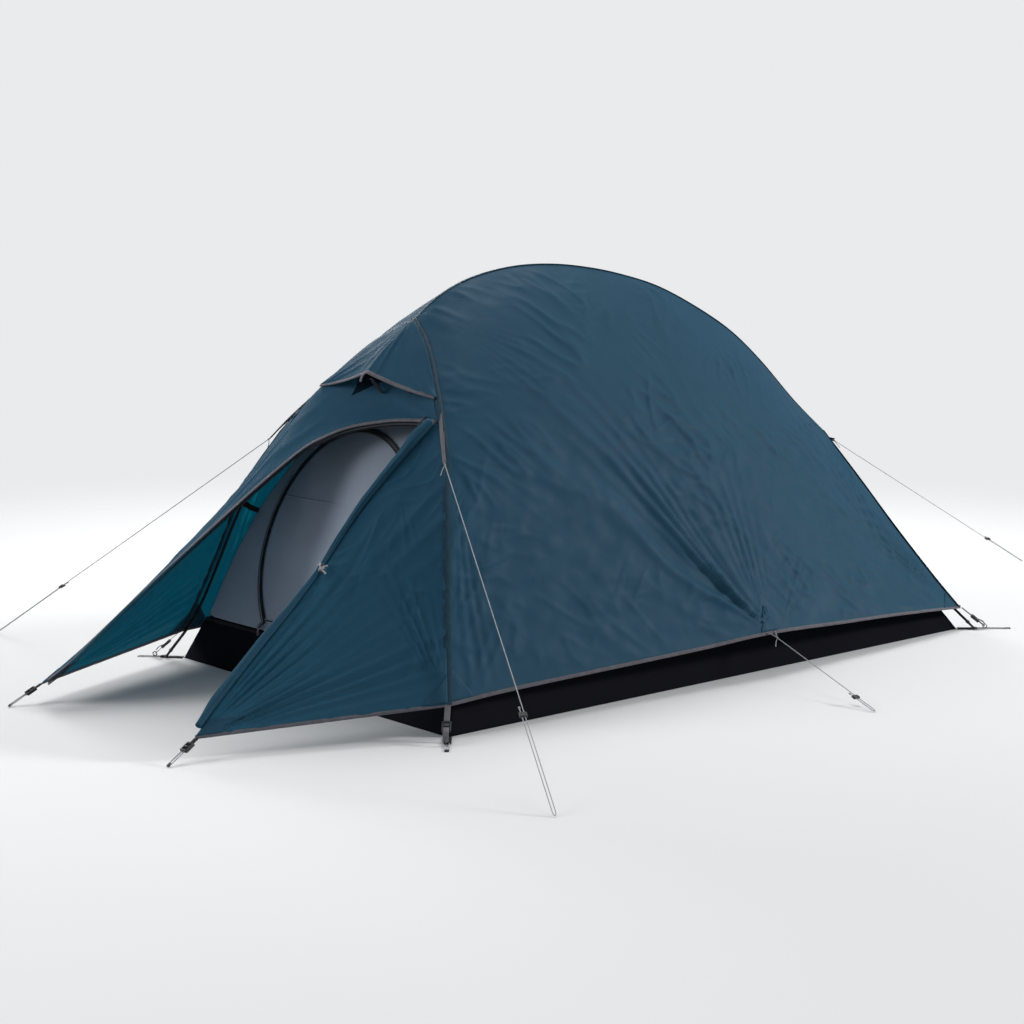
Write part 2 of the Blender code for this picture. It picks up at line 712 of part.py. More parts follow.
guy_front = at(0.404, 0.172, 0.668)
guy_front_ground = at(1.322, -0.258, 0.0030)
guy_middle = at(0.690, 1.168, 0.110)
guy_middle_ground = at(1.168, 1.033, 0.0030)
guy_rear = at(0, 2.216, 0.548)
guy_rear_ground = at(0, 3.330, 0.0030)
guy_front_share = 0.748     # share of the way down to the adjuster
guy_middle_share = 0.82
guy_rear_share = 0.80
guy_spread = 0.0040         # half the gap between the doubled strands
guy_bend = 0.012            # length of the bend at the peg
guy_tail = 0.022            # what stands above the adjuster
adjuster_size = (0.020, 0.0075, 0.016)
adjuster_slack = 0.0011     # between the line and its hole


def guy_line(name, top, ground, share, material, plastic):
    """A line from the fly down to its peg loop and back up through its adjuster."""
    way = (ground - top).normalized()
    side = way.cross(Vector((0, 0, 1))).normalized()
    adjuster = top.lerp(ground, share)
    start = ground - way * guy_bend
    route = [top.lerp(start, n / 8) for n in range(8)]
    for n in range(7):
        angle = pi * n / 6
        route.append(start + way * guy_bend * sin(angle) + side * guy_spread * (1 - cos(angle)))
    across = side * 2 * guy_spread
    for n in range(1, 5):
        route.append((start + across).lerp(adjuster - way * guy_tail + across, n / 4))
    tube("guy_line_" + name, route, cord_radius, material)
    place = frame_at(adjuster + side * guy_spread, way, side)
    item = solid("guy_adjuster_" + name, lambda bm: block(bm, adjuster_size, place, 0.002), plastic,
                 adjuster)
    for i, shift in enumerate((-guy_spread, guy_spread)):
        bore = place @ Matrix.Translation((shift, 0, -0.02))
        cut(item, "adjuster_%s_guide%d" % (name, i), lambda bm, bore=bore: rod_mesh(
            bm, cord_radius + adjuster_slack, 0.04, bore, 10))


def guy_lines(line_cord, plastic):
    for name, top, ground, share in (("front", guy_front, guy_front_ground, guy_front_share),
                                     ("middle", guy_middle, guy_middle_ground, guy_middle_share)):
        guy_line(name + "_right", top, ground, share, line_cord, plastic)
        guy_line(name + "_left", *flip([top, ground]), share, line_cord, plastic)
    guy_line("rear", guy_rear, guy_rear_ground, guy_rear_share, line_cord, plastic)


def main():
    clear()
    cloth = finish("fly_cloth", fly_blue, 0.55)
    inner = finish("inner_cloth", inner_grey, 0.75)
    black = finish("tub_cloth", tub_black, 0.45)
    metal = finish("pole_metal", pole_black, 0.35, 0.8)
    plastic = finish("moulded_plastic", plastic_black, 0.45)
    grey = finish("webbing", webbing_grey, 0.85)
    line_cord = finish("guy_cord", cord_grey, 0.7)
    pole_set(metal, plastic)
    flysheet(cloth)
    rolled_door(cloth)
    door_toggle(plastic)
    vent_prop(plastic)
    slide = zip_line[2] + Vector((0, -0.004, 0.009))        # on the flap over the zip, near its top
    zip_slider("fly_zip_slider", slide, Vector((0, -0.62, 0.785)), Vector((0, -0.785, -0.62)), plastic,
               slide)
    inner_tent(inner, black, plastic)
    corners(grey, plastic)
    guy_lines(line_cord, plastic)


main()
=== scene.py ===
# Hubbed dome tent: flysheet, inner, cords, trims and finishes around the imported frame
import bmesh
import bpy
from math import acos, asin, atan2, cos, degrees, exp, hypot, pi, radians, sin
from mathutils import Matrix, Vector, noise


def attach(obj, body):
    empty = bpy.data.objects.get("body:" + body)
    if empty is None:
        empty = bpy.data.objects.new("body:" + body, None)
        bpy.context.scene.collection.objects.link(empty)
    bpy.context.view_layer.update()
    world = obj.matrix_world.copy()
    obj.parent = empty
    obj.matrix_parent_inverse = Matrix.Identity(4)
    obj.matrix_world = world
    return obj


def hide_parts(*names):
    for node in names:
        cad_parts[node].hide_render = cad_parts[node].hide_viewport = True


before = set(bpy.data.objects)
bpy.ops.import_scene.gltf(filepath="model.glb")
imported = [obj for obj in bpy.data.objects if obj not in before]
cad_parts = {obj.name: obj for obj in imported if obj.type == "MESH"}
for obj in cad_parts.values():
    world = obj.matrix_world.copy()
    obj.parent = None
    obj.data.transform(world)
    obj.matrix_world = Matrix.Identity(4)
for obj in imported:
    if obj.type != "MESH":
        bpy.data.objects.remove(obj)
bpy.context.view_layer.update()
print("frame loaded:", len(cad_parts), "nodes")

# The tent's own measures, as the frame has them, in metres
tent = {
    "frontLine": -0.7737,      # y of the tub's front edge
    "halfFloor": 0.625,
    "floorLength": 2.10,
    "hubHeight": 1.020,
    "hemHeight": 0.085,
    "poleRadius": 0.00425,
    "cordDiameter": 0.0025,
    "cloth": 0.0006,
}


def at(x, y, z):
    return Vector((x, tent["frontLine"] + y, z))      # y counts from the tub's front edge


def sided(point, sign):
    return Vector((point.x * sign, point.y, point.z))


def evenLine(line, count):
    lengths = [0.0]
    for a, b in zip(line, line[1:]):
        lengths.append(lengths[-1] + (b - a).length)
    result = []
    i = 0
    for n in range(count):
        goal = lengths[-1] * n / (count - 1)
        while i < len(line) - 2 and lengths[i + 1] < goal:
            i += 1
        span = max(lengths[i + 1] - lengths[i], 1e-9)
        result.append(line[i].lerp(line[i + 1], min(max((goal - lengths[i]) / span, 0), 1)))
    return result


def smoothLine(points, count):
    ends = [2 * points[0] - points[1]] + points + [2 * points[-1] - points[-2]]
    fine = []
    for i in range(1, len(ends) - 2):
        a, b, c, d = ends[i - 1:i + 3]
        for step in range(16):
            t = step / 16
            fine.append(0.5 * (2 * b + (c - a) * t + (2 * a - 5 * b + 4 * c - d) * t ** 2
                               + (3 * b - a - 3 * c + d) * t ** 3))
    fine.append(points[-1].copy())
    return evenLine(fine, count)


def along(line, share):
    place = min(max(share, 0.0), 1.0) * (len(line) - 1)
    i = min(int(place), len(line) - 2)
    return line[i].lerp(line[i + 1], place - i)


def lengthOf(line):
    return sum((b - a).length for a, b in zip(line, line[1:]))


# The lines that the cloth hangs on, right side
frontHubTop = at(0, 0.390, tent["hubHeight"])
rearHubTop = at(0, 2.165, 0.580)
frontHem = at(0.626, 0.000, tent["hemHeight"])
rearHem = at(0.622, 2.118, 0.068)
guySeam = at(0.389, 0.187, 0.674)
wingTop = at(0.312, 0.236, 0.772)
vestibuleCorner = at(0.385, -0.600, 0.055)
frontSeam = smoothLine([frontHem, at(0.545, 0.062, 0.302), at(0.468, 0.124, 0.529), guySeam,
                        at(0.357, 0.208, 0.718), at(0.271, 0.259, 0.818), at(0.152, 0.325, 0.931),
                        at(0.060, 0.368, 0.991), frontHubTop], 121)
rearSeam = smoothLine([rearHem, at(0.500, 2.128, 0.160), at(0.330, 2.142, 0.298),
                       at(0.165, 2.155, 0.440), rearHubTop], 61)
ridge = smoothLine([frontHubTop, at(0, 0.481, 1.086), at(0, 0.600, 1.135), at(0, 0.750, 1.164),
                    at(0, 0.900, 1.170), at(0, 1.050, 1.158), at(0, 1.200, 1.133), at(0, 1.367, 1.090),
                    at(0, 1.551, 1.014), at(0, 1.700, 0.936), at(0, 1.841, 0.835), at(0, 2.007, 0.696),
                    rearHubTop], 161)
hem = smoothLine([frontHem, at(0.632, 0.227, 0.095), at(0.645, 0.663, 0.104), at(0.655, 0.900, 0.110),
                  at(0.668, 1.177, 0.120), at(0.652, 1.500, 0.104), at(0.640, 1.790, 0.090), rearHem], 121)
wingRidge = smoothLine([vestibuleCorner, at(0.352, -0.448, 0.172), at(0.322, -0.207, 0.370),
                        at(0.290, 0.005, 0.565), wingTop], 81)
zipLine = smoothLine([at(0.298, 0.236, 0.766), at(0.192, 0.231, 0.762), at(0.093, 0.220, 0.753),
                      at(-0.030, 0.189, 0.729), at(-0.099, 0.151, 0.699), at(-0.150, 0.101, 0.659),
                      at(-0.194, -0.038, 0.549), at(-0.235, -0.248, 0.383), at(-0.262, -0.420, 0.247),
                      at(-0.300, -0.545, 0.130), at(-0.365, -0.592, 0.066)], 121)
tentMiddle = at(0, 0.95, 0.15)


# Camera, floor and light

view = {
    "place": (4.6052, -4.0124, 1.3311),
    "azimuth": 49.047,
    "elevation": 8.335,
    "fieldOfView": 27.80,
}
studio = {
    "floorSize": 60.0,
    "floorColour": (0.655, 0.650, 0.645),
    "fade": (2.0, 4.8),      # metres from the tent where the floor melts into the background
    "backdrop": (0.825, 0.830, 0.842),
    "roomLight": (0.90, 0.95, 1.0),
    "roomStrength": 0.43,
    "softbox": {"place": (-1.6, 2.2, 5.2), "target": (0, 0, 0.3), "size": 3.0, "power": 200},
    "key": {"place": (6.2, 8.8, 4.7), "target": (0.2, 0.4, 0.5), "size": 2.0, "power": 950},
    "back": {"place": (-11.0, 3.8, 5.6), "target": (-0.3, -0.6, 0.3), "size": 4.0, "power": 560},
    "front": {"place": (-3.6, -7.5, 4.6), "target": (0, -0.3, 0.7), "size": 5.0, "power": 430},
}


def makeCamera():
    lensData = bpy.data.cameras.new("camera")
    lensData.sensor_width = 36
    lensData.angle = radians(view["fieldOfView"])
    lensData.clip_end = 100
    camera = bpy.data.objects.new("camera", lensData)
    bpy.context.scene.collection.objects.link(camera)
    camera.location = view["place"]
    camera.rotation_euler = (radians(90 - view["elevation"]), 0, radians(view["azimuth"]))
    bpy.context.scene.camera = camera


def softLight(name, settings):
    data = bpy.data.lights.new(name, "AREA")
    data.shape = "DISK"
    data.size = settings["size"]
    data.energy = settings["power"]
    light = bpy.data.objects.new(name, data)
    bpy.context.scene.collection.objects.link(light)
    light.location = settings["place"]
    way = Vector(settings["target"]) - Vector(settings["place"])
    light.rotation_euler = way.to_track_quat("-Z", "Y").to_euler()


def makeStudio():
    bm = bmesh.new()
    bmesh.ops.create_grid(bm, x_segments=4, y_segments=4, size=studio["floorSize"] / 2)
    bmesh.ops.translate(bm, verts=bm.verts, vec=(0, 0, -0.0006))
    mesh = bpy.data.meshes.new("studioFloor")
    bm.to_mesh(mesh)
    bm.free()
    floor = bpy.data.objects.new("studioFloor", mesh)
    bpy.context.scene.collection.objects.link(floor)
    material, tree, shader = startMaterial("floorPaint", studio["floorColour"], 0.85)
    distance = addNode(tree, "VectorMath", {0: addNode(tree, "TexCoord").outputs["Object"]},
                       operation="LENGTH").outputs["Value"]
    share = addNode(tree, "MapRange", {"Value": distance, "From Min": studio["fade"][0],
                                       "From Max": studio["fade"][1]},
                    interpolation_type="SMOOTHSTEP").outputs[0]
    clear = addNode(tree, "BsdfTransparent")
    mix = addNode(tree, "MixShader", {0: share, 1: shader.outputs[0], 2: clear.outputs[0]})
    tree.links.new(mix.outputs[0], tree.nodes["Material Output"].inputs["Surface"])
    mesh.materials.append(material)
    world = bpy.data.worlds.new("studioWorld")
    world.use_nodes = True
    sky = world.node_tree
    room = sky.nodes["Background"]
    room.inputs["Color"].default_value = (*studio["roomLight"], 1)
    room.inputs["Strength"].default_value = studio["roomStrength"]
    backdrop = addNode(sky, "Background", {"Color": (*studio["backdrop"], 1), "Strength": 1.0})
    seen = addNode(sky, "LightPath").outputs["Is Camera Ray"]
    mix = addNode(sky, "MixShader", {0: seen, 1: room.outputs[0], 2: backdrop.outputs[0]})
    sky.links.new(mix.outputs[0], sky.nodes["World Output"].inputs["Surface"])
    bpy.context.scene.world = world
    for name in ("softbox", "key", "back", "front"):
        softLight(name, studio[name])
    bpy.context.scene.view_settings.view_transform = "Standard"


# Materials

def addNode(tree, kind, inputs=None, **settings):
    made = tree.nodes.new("ShaderNode" + kind)
    for key, value in settings.items():
        setattr(made, key, value)
    for key, value in (inputs or {}).items():
        if isinstance(value, bpy.types.NodeSocket):
            tree.links.new(value, made.inputs[key])
        else:
            made.inputs[key].default_value = value
    return made


def startMaterial(name, colour, roughness, **sockets):
    material = bpy.data.materials.new(name)
    material.use_nodes = True
    tree = material.node_tree
    shader = tree.nodes["Principled BSDF"]
    shader.inputs["Base Color"].default_value = (*colour, 1)
    shader.inputs["Roughness"].default_value = roughness
    for key, value in sockets.items():
        shader.inputs[key.replace("_", " ")].default_value = value
    return material, tree, shader


def mixColours(tree, factor, first, second, blend="MIX"):
    mix = addNode(tree, "Mix", data_type="RGBA", blend_type=blend)
    for index, value in ((0, factor), (6, first), (7, second)):
        if isinstance(value, bpy.types.NodeSocket):
            tree.links.new(value, mix.inputs[index])
        else:
            mix.inputs[index].default_value = value if index == 0 else (*value, 1)
    return mix.outputs[2]


def mathNode(tree, operation, first, second=0.5):
    return addNode(tree, "Math", {0: first, 1: second}, operation=operation).outputs[0]


def mapValue(tree, value, fromLow, fromHigh, toLow, toHigh):
    return addNode(tree, "MapRange", {"Value": value, "From Min": fromLow, "From Max": fromHigh,
                                      "To Min": toLow, "To Max": toHigh}).outputs[0]


def clothPlace(tree):
    return addNode(tree, "UVMap", uv_map="cloth").outputs[0]


def objectPlace(tree, scale=(1, 1, 1), turn=(0, 0, 0)):
    place = addNode(tree, "TexCoord").outputs["Object"]
    return addNode(tree, "Mapping", {"Vector": place, "Rotation": turn, "Scale": scale}).outputs[0]


def speckle(tree, scale, detail):
    return addNode(tree, "TexNoise", {"Vector": objectPlace(tree), "Scale": scale,
                                      "Detail": detail}).outputs["Fac"]


def threads(tree, place, pitch, direction, kind="SIN"):
    wavesPerUnit = 2 * pi / 20      # a Wave texture's bands repeat this often at scale 1
    return addNode(tree, "TexWave", {"Vector": place, "Scale": wavesPerUnit / pitch}, wave_type="BANDS",
                   bands_direction=direction, wave_profile=kind).outputs["Fac"]


def shaded(colour, share):
    return tuple(c * share for c in colour)


def wovenCloth(name, s):
    material, tree, shader = startMaterial(name, s["colour"], s["roughness"],
                                           Sheen_Weight=s["sheen"], Sheen_Roughness=0.45,
                                           Specular_IOR_Level=s["specular"])
    shader.inputs["Sheen Tint"].default_value = (*s["sheenTint"], 1)
    place = clothPlace(tree)
    solid = objectPlace(tree)
    warp = threads(tree, place, s["thread"], "X")
    weft = threads(tree, place, s["thread"], "Y")
    weave = mathNode(tree, "MAXIMUM", warp, weft)
    mottle = addNode(tree, "TexNoise", {"Vector": solid, "Scale": 5.0, "Detail": 5.0,
                                        "Roughness": 0.6}).outputs["Fac"]
    tone = mapValue(tree, mottle, 0.3, 0.7, 0.0, 1.0)
    colour = mixColours(tree, tone, shaded(s["colour"], 1 - s["mottle"]),
                        shaded(s["colour"], 1 + s["mottle"]))
    threadTone = mapValue(tree, weave, 0.0, 1.0, 0.0, s["threadContrast"])
    colour = mixColours(tree, threadTone, colour, shaded(s["colour"], 1.5))
    height = addNode(tree, "SeparateXYZ", {0: addNode(tree, "TexCoord").outputs["Object"]}).outputs["Z"]
    dust = addNode(tree, "TexNoise", {"Vector": solid, "Scale": 38.0, "Detail": 4.0}).outputs["Fac"]
    low = mathNode(tree, "MULTIPLY", mapValue(tree, height, 0.02, 0.20, s["dust"], 0.0), dust)
    colour = mixColours(tree, low, colour, (0.22, 0.20, 0.18))
    if "paintedTopShade" in s:      # painted shade: the colour darkens towards the top of the inner, standing in for its shadowed upper part
        low, high, least = s["paintedTopShade"]
        shade = mapValue(tree, height, low, high, 0.0, 1 - least)
        colour = mixColours(tree, shade, colour, shaded(s["colour"], 0.25))
    tree.links.new(colour, shader.inputs["Base Color"])
    gloss = addNode(tree, "TexNoise", {"Vector": solid, "Scale": 22.0, "Detail": 3.0}).outputs["Fac"]
    tree.links.new(mapValue(tree, gloss, 0.3, 0.7, s["roughness"] - 0.07, s["roughness"] + 0.07),
                   shader.inputs["Roughness"])
    crinkle = addNode(tree, "TexNoise", {"Vector": objectPlace(tree, (1.0, 0.55, 1.0), (0.6, 0.0, 0.5)),
                                         "Scale": s["crinkle"], "Detail": 3.0, "Roughness": 0.55,
                                         "Distortion": 0.6}).outputs["Fac"]
    soft = addNode(tree, "Bump", {"Height": crinkle, "Strength": s["crinkleStrength"], "Distance": 0.004})
    fine = addNode(tree, "Bump", {"Height": weave, "Strength": 0.10, "Distance": 0.0001,
                                  "Normal": soft.outputs[0]})
    tree.links.new(fine.outputs[0], shader.inputs["Normal"])
    if s["glow"]:
        glow = addNode(tree, "BsdfTranslucent", {"Color": (*s["glowColour"], 1)})
        mix = addNode(tree, "MixShader", {0: s["glow"], 1: shader.outputs[0], 2: glow.outputs[0]})
        tree.links.new(mix.outputs[0], tree.nodes["Material Output"].inputs["Surface"])
    return material


def narrowWoven(name, s):      # webbing and binding tape: ribs across, and a stitch row where the finish gives one
    material, tree, shader = startMaterial(name, s["colour"], s["roughness"], Sheen_Weight=s["sheen"],
                                           Specular_IOR_Level=0.15)
    place = clothPlace(tree)
    parts = addNode(tree, "SeparateXYZ", {0: place})
    ribs = threads(tree, place, s["rib"], "Y")
    cross = threads(tree, place, s["rib"] * 0.6, "X")
    weave = mathNode(tree, "MULTIPLY", ribs, mapValue(tree, cross, 0, 1, 0.55, 1.0))
    mottle = speckle(tree, 60.0, 4.0)
    colour = mixColours(tree, mapValue(tree, mottle, 0.3, 0.7, 0, 1), shaded(s["colour"], 0.78),
                        shaded(s["colour"], 1.18))
    colour = mixColours(tree, mapValue(tree, weave, 0, 1, 0.35, 0.0), colour, shaded(s["colour"], 0.35))
    if s.get("stitch"):
        row = mathNode(tree, "ABSOLUTE", mathNode(tree, "SUBTRACT", parts.outputs["X"], s["stitchRow"]))
        inRow = mathNode(tree, "LESS_THAN", row, 0.0005)
        dash = mathNode(tree, "GREATER_THAN", threads(tree, place, s["stitch"], "Y"), 0.35)
        colour = mixColours(tree, mathNode(tree, "MULTIPLY", inRow, dash), colour, s["stitchColour"])
    tree.links.new(colour, shader.inputs["Base Color"])
    bump = addNode(tree, "Bump", {"Height": weave, "Strength": 0.6, "Distance": 0.0003})
    tree.links.new(bump.outputs[0], shader.inputs["Normal"])
    return material


def braidedCord(name, s):
    material, tree, shader = startMaterial(name, s["colour"], 0.62, Sheen_Weight=0.3)
    place = clothPlace(tree)
    turned = addNode(tree, "Mapping", {"Vector": place, "Rotation": (0, 0, radians(35))}).outputs[0]
    back = addNode(tree, "Mapping", {"Vector": place, "Rotation": (0, 0, radians(-35))}).outputs[0]
    braid = mathNode(tree, "MULTIPLY", threads(tree, turned, s["pitch"], "Y"),
                     threads(tree, back, s["pitch"], "Y"))
    colour = mixColours(tree, braid, shaded(s["colour"], 0.45), shaded(s["colour"], 1.1))
    fleck = threads(tree, turned, s["pitch"] * 6, "Y")
    colour = mixColours(tree, mapValue(tree, fleck, 0.93, 0.97, 0, 0.8), colour, s["fleck"])
    tree.links.new(colour, shader.inputs["Base Color"])
    bump = addNode(tree, "Bump", {"Height": braid, "Strength": 0.7, "Distance": 0.0003})
    tree.links.new(bump.outputs[0], shader.inputs["Normal"])
    return material


def anodisedTube(name, s):
    material, tree, shader = startMaterial(name, s["colour"], s["roughness"], Metallic=0.85)
    scratches = addNode(tree, "TexNoise", {"Vector": objectPlace(tree, (60, 4, 60)), "Scale": 9.0,
                                           "Detail": 5.0}).outputs["Fac"]
    worn = mapValue(tree, scratches, 0.62, 0.78, 0, 0.5)
    tree.links.new(mixColours(tree, worn, s["colour"], (0.20, 0.20, 0.21)), shader.inputs["Base Color"])
    tree.links.new(mapValue(tree, scratches, 0.3, 0.7, s["roughness"] - 0.08, s["roughness"] + 0.12),
                   shader.inputs["Roughness"])
    bump = addNode(tree, "Bump", {"Height": scratches, "Strength": 0.1, "Distance": 0.0002})
    tree.links.new(bump.outputs[0], shader.inputs["Normal"])
    return material


def mouldedPlastic(name, s):
    material, tree, shader = startMaterial(name, s["colour"], s["roughness"])
    grain = speckle(tree, 900.0, 2.0)
    wide = speckle(tree, 90.0, 4.0)
    scuffs = mapValue(tree, wide, 0.58, 0.75, 0, 0.35)
    tree.links.new(mixColours(tree, scuffs, s["colour"], shaded(s["colour"], 4.0)),
                   shader.inputs["Base Color"])
    tree.links.new(mapValue(tree, wide, 0.3, 0.7, s["roughness"] - 0.08, s["roughness"] + 0.10),
                   shader.inputs["Roughness"])
    bump = addNode(tree, "Bump", {"Height": grain, "Strength": 0.25, "Distance": 0.0001})
    tree.links.new(bump.outputs[0], shader.inputs["Normal"])
    return material


def meshNet(name, s):
    material, tree, shader = startMaterial(name, s["colour"], 0.9, Specular_IOR_Level=0.0)
    place = clothPlace(tree)
    holes = mathNode(tree, "MULTIPLY", threads(tree, place, s["pitch"], "X"),
                     threads(tree, place, s["pitch"], "Y"))
    solid = mapValue(tree, holes, 0.35, 0.55, 1.0, s["open"])
    tree.links.new(solid, shader.inputs["Alpha"])
    tone = mixColours(tree, holes, shaded(s["colour"], 1.4), s["colour"])
    tree.links.new(tone, shader.inputs["Base Color"])
    return material


finishes = {
    "fly": {"colour": (0.0250, 0.086, 0.142), "roughness": 0.62, "sheen": 0.0, "sheenTint": (0.5, 0.8, 1.0),
            "specular": 0.12, "thread": 0.0006, "threadContrast": 0.08, "mottle": 0.04, "dust": 0.05,
            "crinkle": 15.0, "crinkleStrength": 0.42, "glow": 0.42, "glowColour": (0.006, 0.40, 0.50)},
    # the inner's paintedTopShade is painted shade: the colour is darker towards the top
    "inner": {"paintedTopShade": (0.34, 0.74, 0.13), "colour": (0.325, 0.375, 0.455), "roughness": 0.75,
              "sheen": 0.06, "sheenTint": (0.7, 0.8, 1.0),
              "specular": 0.10, "thread": 0.0007, "threadContrast": 0.12, "mottle": 0.08, "dust": 0.10,
              "crinkle": 14.0, "crinkleStrength": 0.35, "glow": 0.12, "glowColour": (0.20, 0.28, 0.38)},
    "tub": {"colour": (0.0085, 0.0085, 0.0115), "roughness": 0.60, "sheen": 0.0, "sheenTint": (0.7, 0.7, 0.8),
            "specular": 0.0, "thread": 0.0010, "threadContrast": 0.10, "mottle": 0.08, "dust": 0.0,
            "crinkle": 24.0, "crinkleStrength": 0.35, "glow": 0.0, "glowColour": (0, 0, 0)},
    "binding": {"colour": (0.098, 0.094, 0.112), "sheen": 0.12, "roughness": 0.75, "rib": 0.0012,
                "stitch": 0.0045, "stitchRow": 0.006, "stitchColour": (0.05, 0.045, 0.055)},
    "greyWebbing": {"colour": (0.135, 0.130, 0.150), "sheen": 0.15, "roughness": 0.80, "rib": 0.0016,
                    "stitch": 0.0040, "stitchRow": 0.0075, "stitchColour": (0.09, 0.08, 0.10)},
    "darkWebbing": {"colour": (0.012, 0.012, 0.014), "sheen": 0.04, "roughness": 0.75, "rib": 0.0016},
    "seamTape": {"colour": (0.010, 0.042, 0.070), "sheen": 0.0, "roughness": 0.60, "rib": 0.0009,
                 "stitch": 0.0036, "stitchRow": 0.002, "stitchColour": (0.012, 0.030, 0.050)},
    "zipTape": {"colour": (0.030, 0.034, 0.042), "sheen": 0.05, "roughness": 0.8, "rib": 0.0010},
    "guyCord": {"colour": (0.50, 0.51, 0.53), "pitch": 0.0012, "fleck": (0.10, 0.11, 0.13)},
    "pole": {"colour": (0.018, 0.019, 0.021), "roughness": 0.34},
    "plastic": {"colour": (0.011, 0.011, 0.012), "roughness": 0.45},
    # vent netting: its dark navy colour is painted shade under the awning
    "hoodShadeNet": {"colour": (0.0035, 0.0090, 0.0150), "pitch": 0.0016, "open": 0.70},
}


# Shape tools

def asPiece(name, mesh, material, body, sharp=None):
    piece = bpy.data.objects.new(name, mesh)
    bpy.context.scene.collection.objects.link(piece)
    mesh.materials.append(material)
    mesh.shade_smooth()
    if sharp:
        mesh.set_sharp_from_angle(angle=radians(sharp))
    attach(piece, body)
    return piece


def finishMesh(name, bm, material, body, sharp=40):
    bmesh.ops.recalc_face_normals(bm, faces=bm.faces)
    mesh = bpy.data.meshes.new(name)
    bm.to_mesh(mesh)
    bm.free()
    return asPiece(name, mesh, material, body, sharp)


def clothPiece(name, surface, columns, rows, size, material, body, thickness=None):
    # a sheet of cloth: surface(u, v) gives its middle, its UV map counts metres, Solidify its thickness
    bm = bmesh.new()
    bmesh.ops.create_grid(bm, x_segments=columns, y_segments=rows, size=0.5)
    uvLayer = bm.loops.layers.uv.new("cloth")
    for face in bm.faces:
        for loop in face.loops:
            loop[uvLayer].uv = ((loop.vert.co.x + 0.5) * size[0], (loop.vert.co.y + 0.5) * size[1])
    for vertex in bm.verts:
        vertex.co = surface(vertex.co.x + 0.5, vertex.co.y + 0.5)
    mesh = bpy.data.meshes.new(name)
    bm.to_mesh(mesh)
    bm.free()
    piece = asPiece(name, mesh, material, body)
    wall = piece.modifiers.new("thickness", "SOLIDIFY")
    wall.thickness = thickness or tent["cloth"]
    wall.offset = 0
    return piece


def sweep(bm, line, profile, ups, scales=None):
    # a closed profile of (side, up) pairs carried along a line; ups is one direction or one for each point
    uvLayer = bm.loops.layers.uv.verify()
    columns, rows = len(profile), len(line) - 1
    around = [0.0]
    for i in range(columns):
        a, b = profile[i], profile[(i + 1) % columns]
        around.append(around[-1] + hypot(b[0] - a[0], b[1] - a[1]))
    run = [0.0]
    for a, b in zip(line, line[1:]):
        run.append(run[-1] + (b - a).length)
    made = bmesh.ops.create_grid(bm, x_segments=columns, y_segments=rows, size=0.5)["verts"]
    fresh = set(made)
    faces = {face for vertex in made for face in vertex.link_faces}
    for face in faces:
        for loop in face.loops:
            i = round((loop.vert.co.x + 0.5) * columns)
            j = round((loop.vert.co.y + 0.5) * rows)
            loop[uvLayer].uv = (around[i], run[j])
    for vertex in fresh:
        i = round((vertex.co.x + 0.5) * columns) % columns
        j = round((vertex.co.y + 0.5) * rows)
        tangent = (line[min(j + 1, rows)] - line[max(j - 1, 0)]).normalized()
        up = ups[j] if isinstance(ups, list) else ups
        side = tangent.cross(up).normalized()
        up = side.cross(tangent)
        size = scales[j] if scales else 1.0
        vertex.co = line[j] + (side * profile[i][0] + up * profile[i][1]) * size
    bmesh.ops.remove_doubles(bm, verts=made, dist=1e-7)
    live = {vertex for vertex in fresh if vertex.is_valid}
    open_ = [edge for edge in {e for v in live for e in v.link_edges} if edge.is_boundary]
    bmesh.ops.holes_fill(bm, edges=open_, sides=0)


def roundProfile(radius, sides=10):
    return [(radius * cos(2 * pi * i / sides), radius * sin(2 * pi * i / sides)) for i in range(sides)]


def tapeProfile(width, thick):
    edge = thick * 0.35
    w, t = width / 2, thick / 2
    return [(-w + edge, -t), (w - edge, -t), (w, -t + edge), (w, t - edge), (w - edge, t), (-w + edge, t),
            (-w, t - edge), (-w, -t + edge)]


def startBmesh():
    bm = bmesh.new()
    bm.loops.layers.uv.new("cloth")
    return bm


def frameAt(place, alongAxis, sideAxis):
    z = alongAxis.normalized()
    y = z.cross(sideAxis).normalized()
    x = y.cross(z)
    return Matrix.Translation(place) @ Matrix((x, y, z)).transposed().to_4x4()


def addBlock(bm, size, matrix, bevel=0.0, segments=2):
    made = bmesh.ops.create_cube(bm, size=1, matrix=matrix @ Matrix.Diagonal((*size, 1)))
    if bevel:
        edges = list({edge for vertex in made["verts"] for edge in vertex.link_edges})
        bmesh.ops.bevel(bm, geom=edges, offset=bevel, segments=segments, affect="EDGES", profile=0.5,
                        material=-1)


def addRod(bm, radius, length, matrix, sides=16):
    bmesh.ops.create_cone(bm, cap_ends=True, segments=sides, radius1=radius, radius2=radius, depth=length,
                          matrix=matrix @ Matrix.Translation((0, 0, length / 2)))


def addRing(bm, ringRadius, wireRadius, matrix, steps=20, sides=8):
    start = matrix @ Matrix.Translation((ringRadius, 0, 0)) @ Matrix.Rotation(pi / 2, 4, "X")
    made = bmesh.ops.create_circle(bm, segments=sides, radius=wireRadius, matrix=start)["verts"]
    edges = list({edge for vertex in made for edge in vertex.link_edges})
    bmesh.ops.spin(bm, geom=made + edges, cent=matrix.translation, axis=matrix.to_3x3() @ Vector((0, 0, 1)),
                   angle=2 * pi, steps=steps, use_merge=True)


def normalAt(surface, u, v):
    step = 0.004
    a = surface(min(u + step, 1), v) - surface(max(u - step, 0), v)
    b = surface(u, min(v + step, 1)) - surface(u, max(v - step, 0))
    normal = a.cross(b).normalized()
    return normal if normal.dot(surface(u, v) - tentMiddle) > 0 else -normal


# Wrinkles

def crest(wave):
    return (0.5 + 0.5 * wave) ** 1.8 - 0.36      # narrow crests between flatter valleys


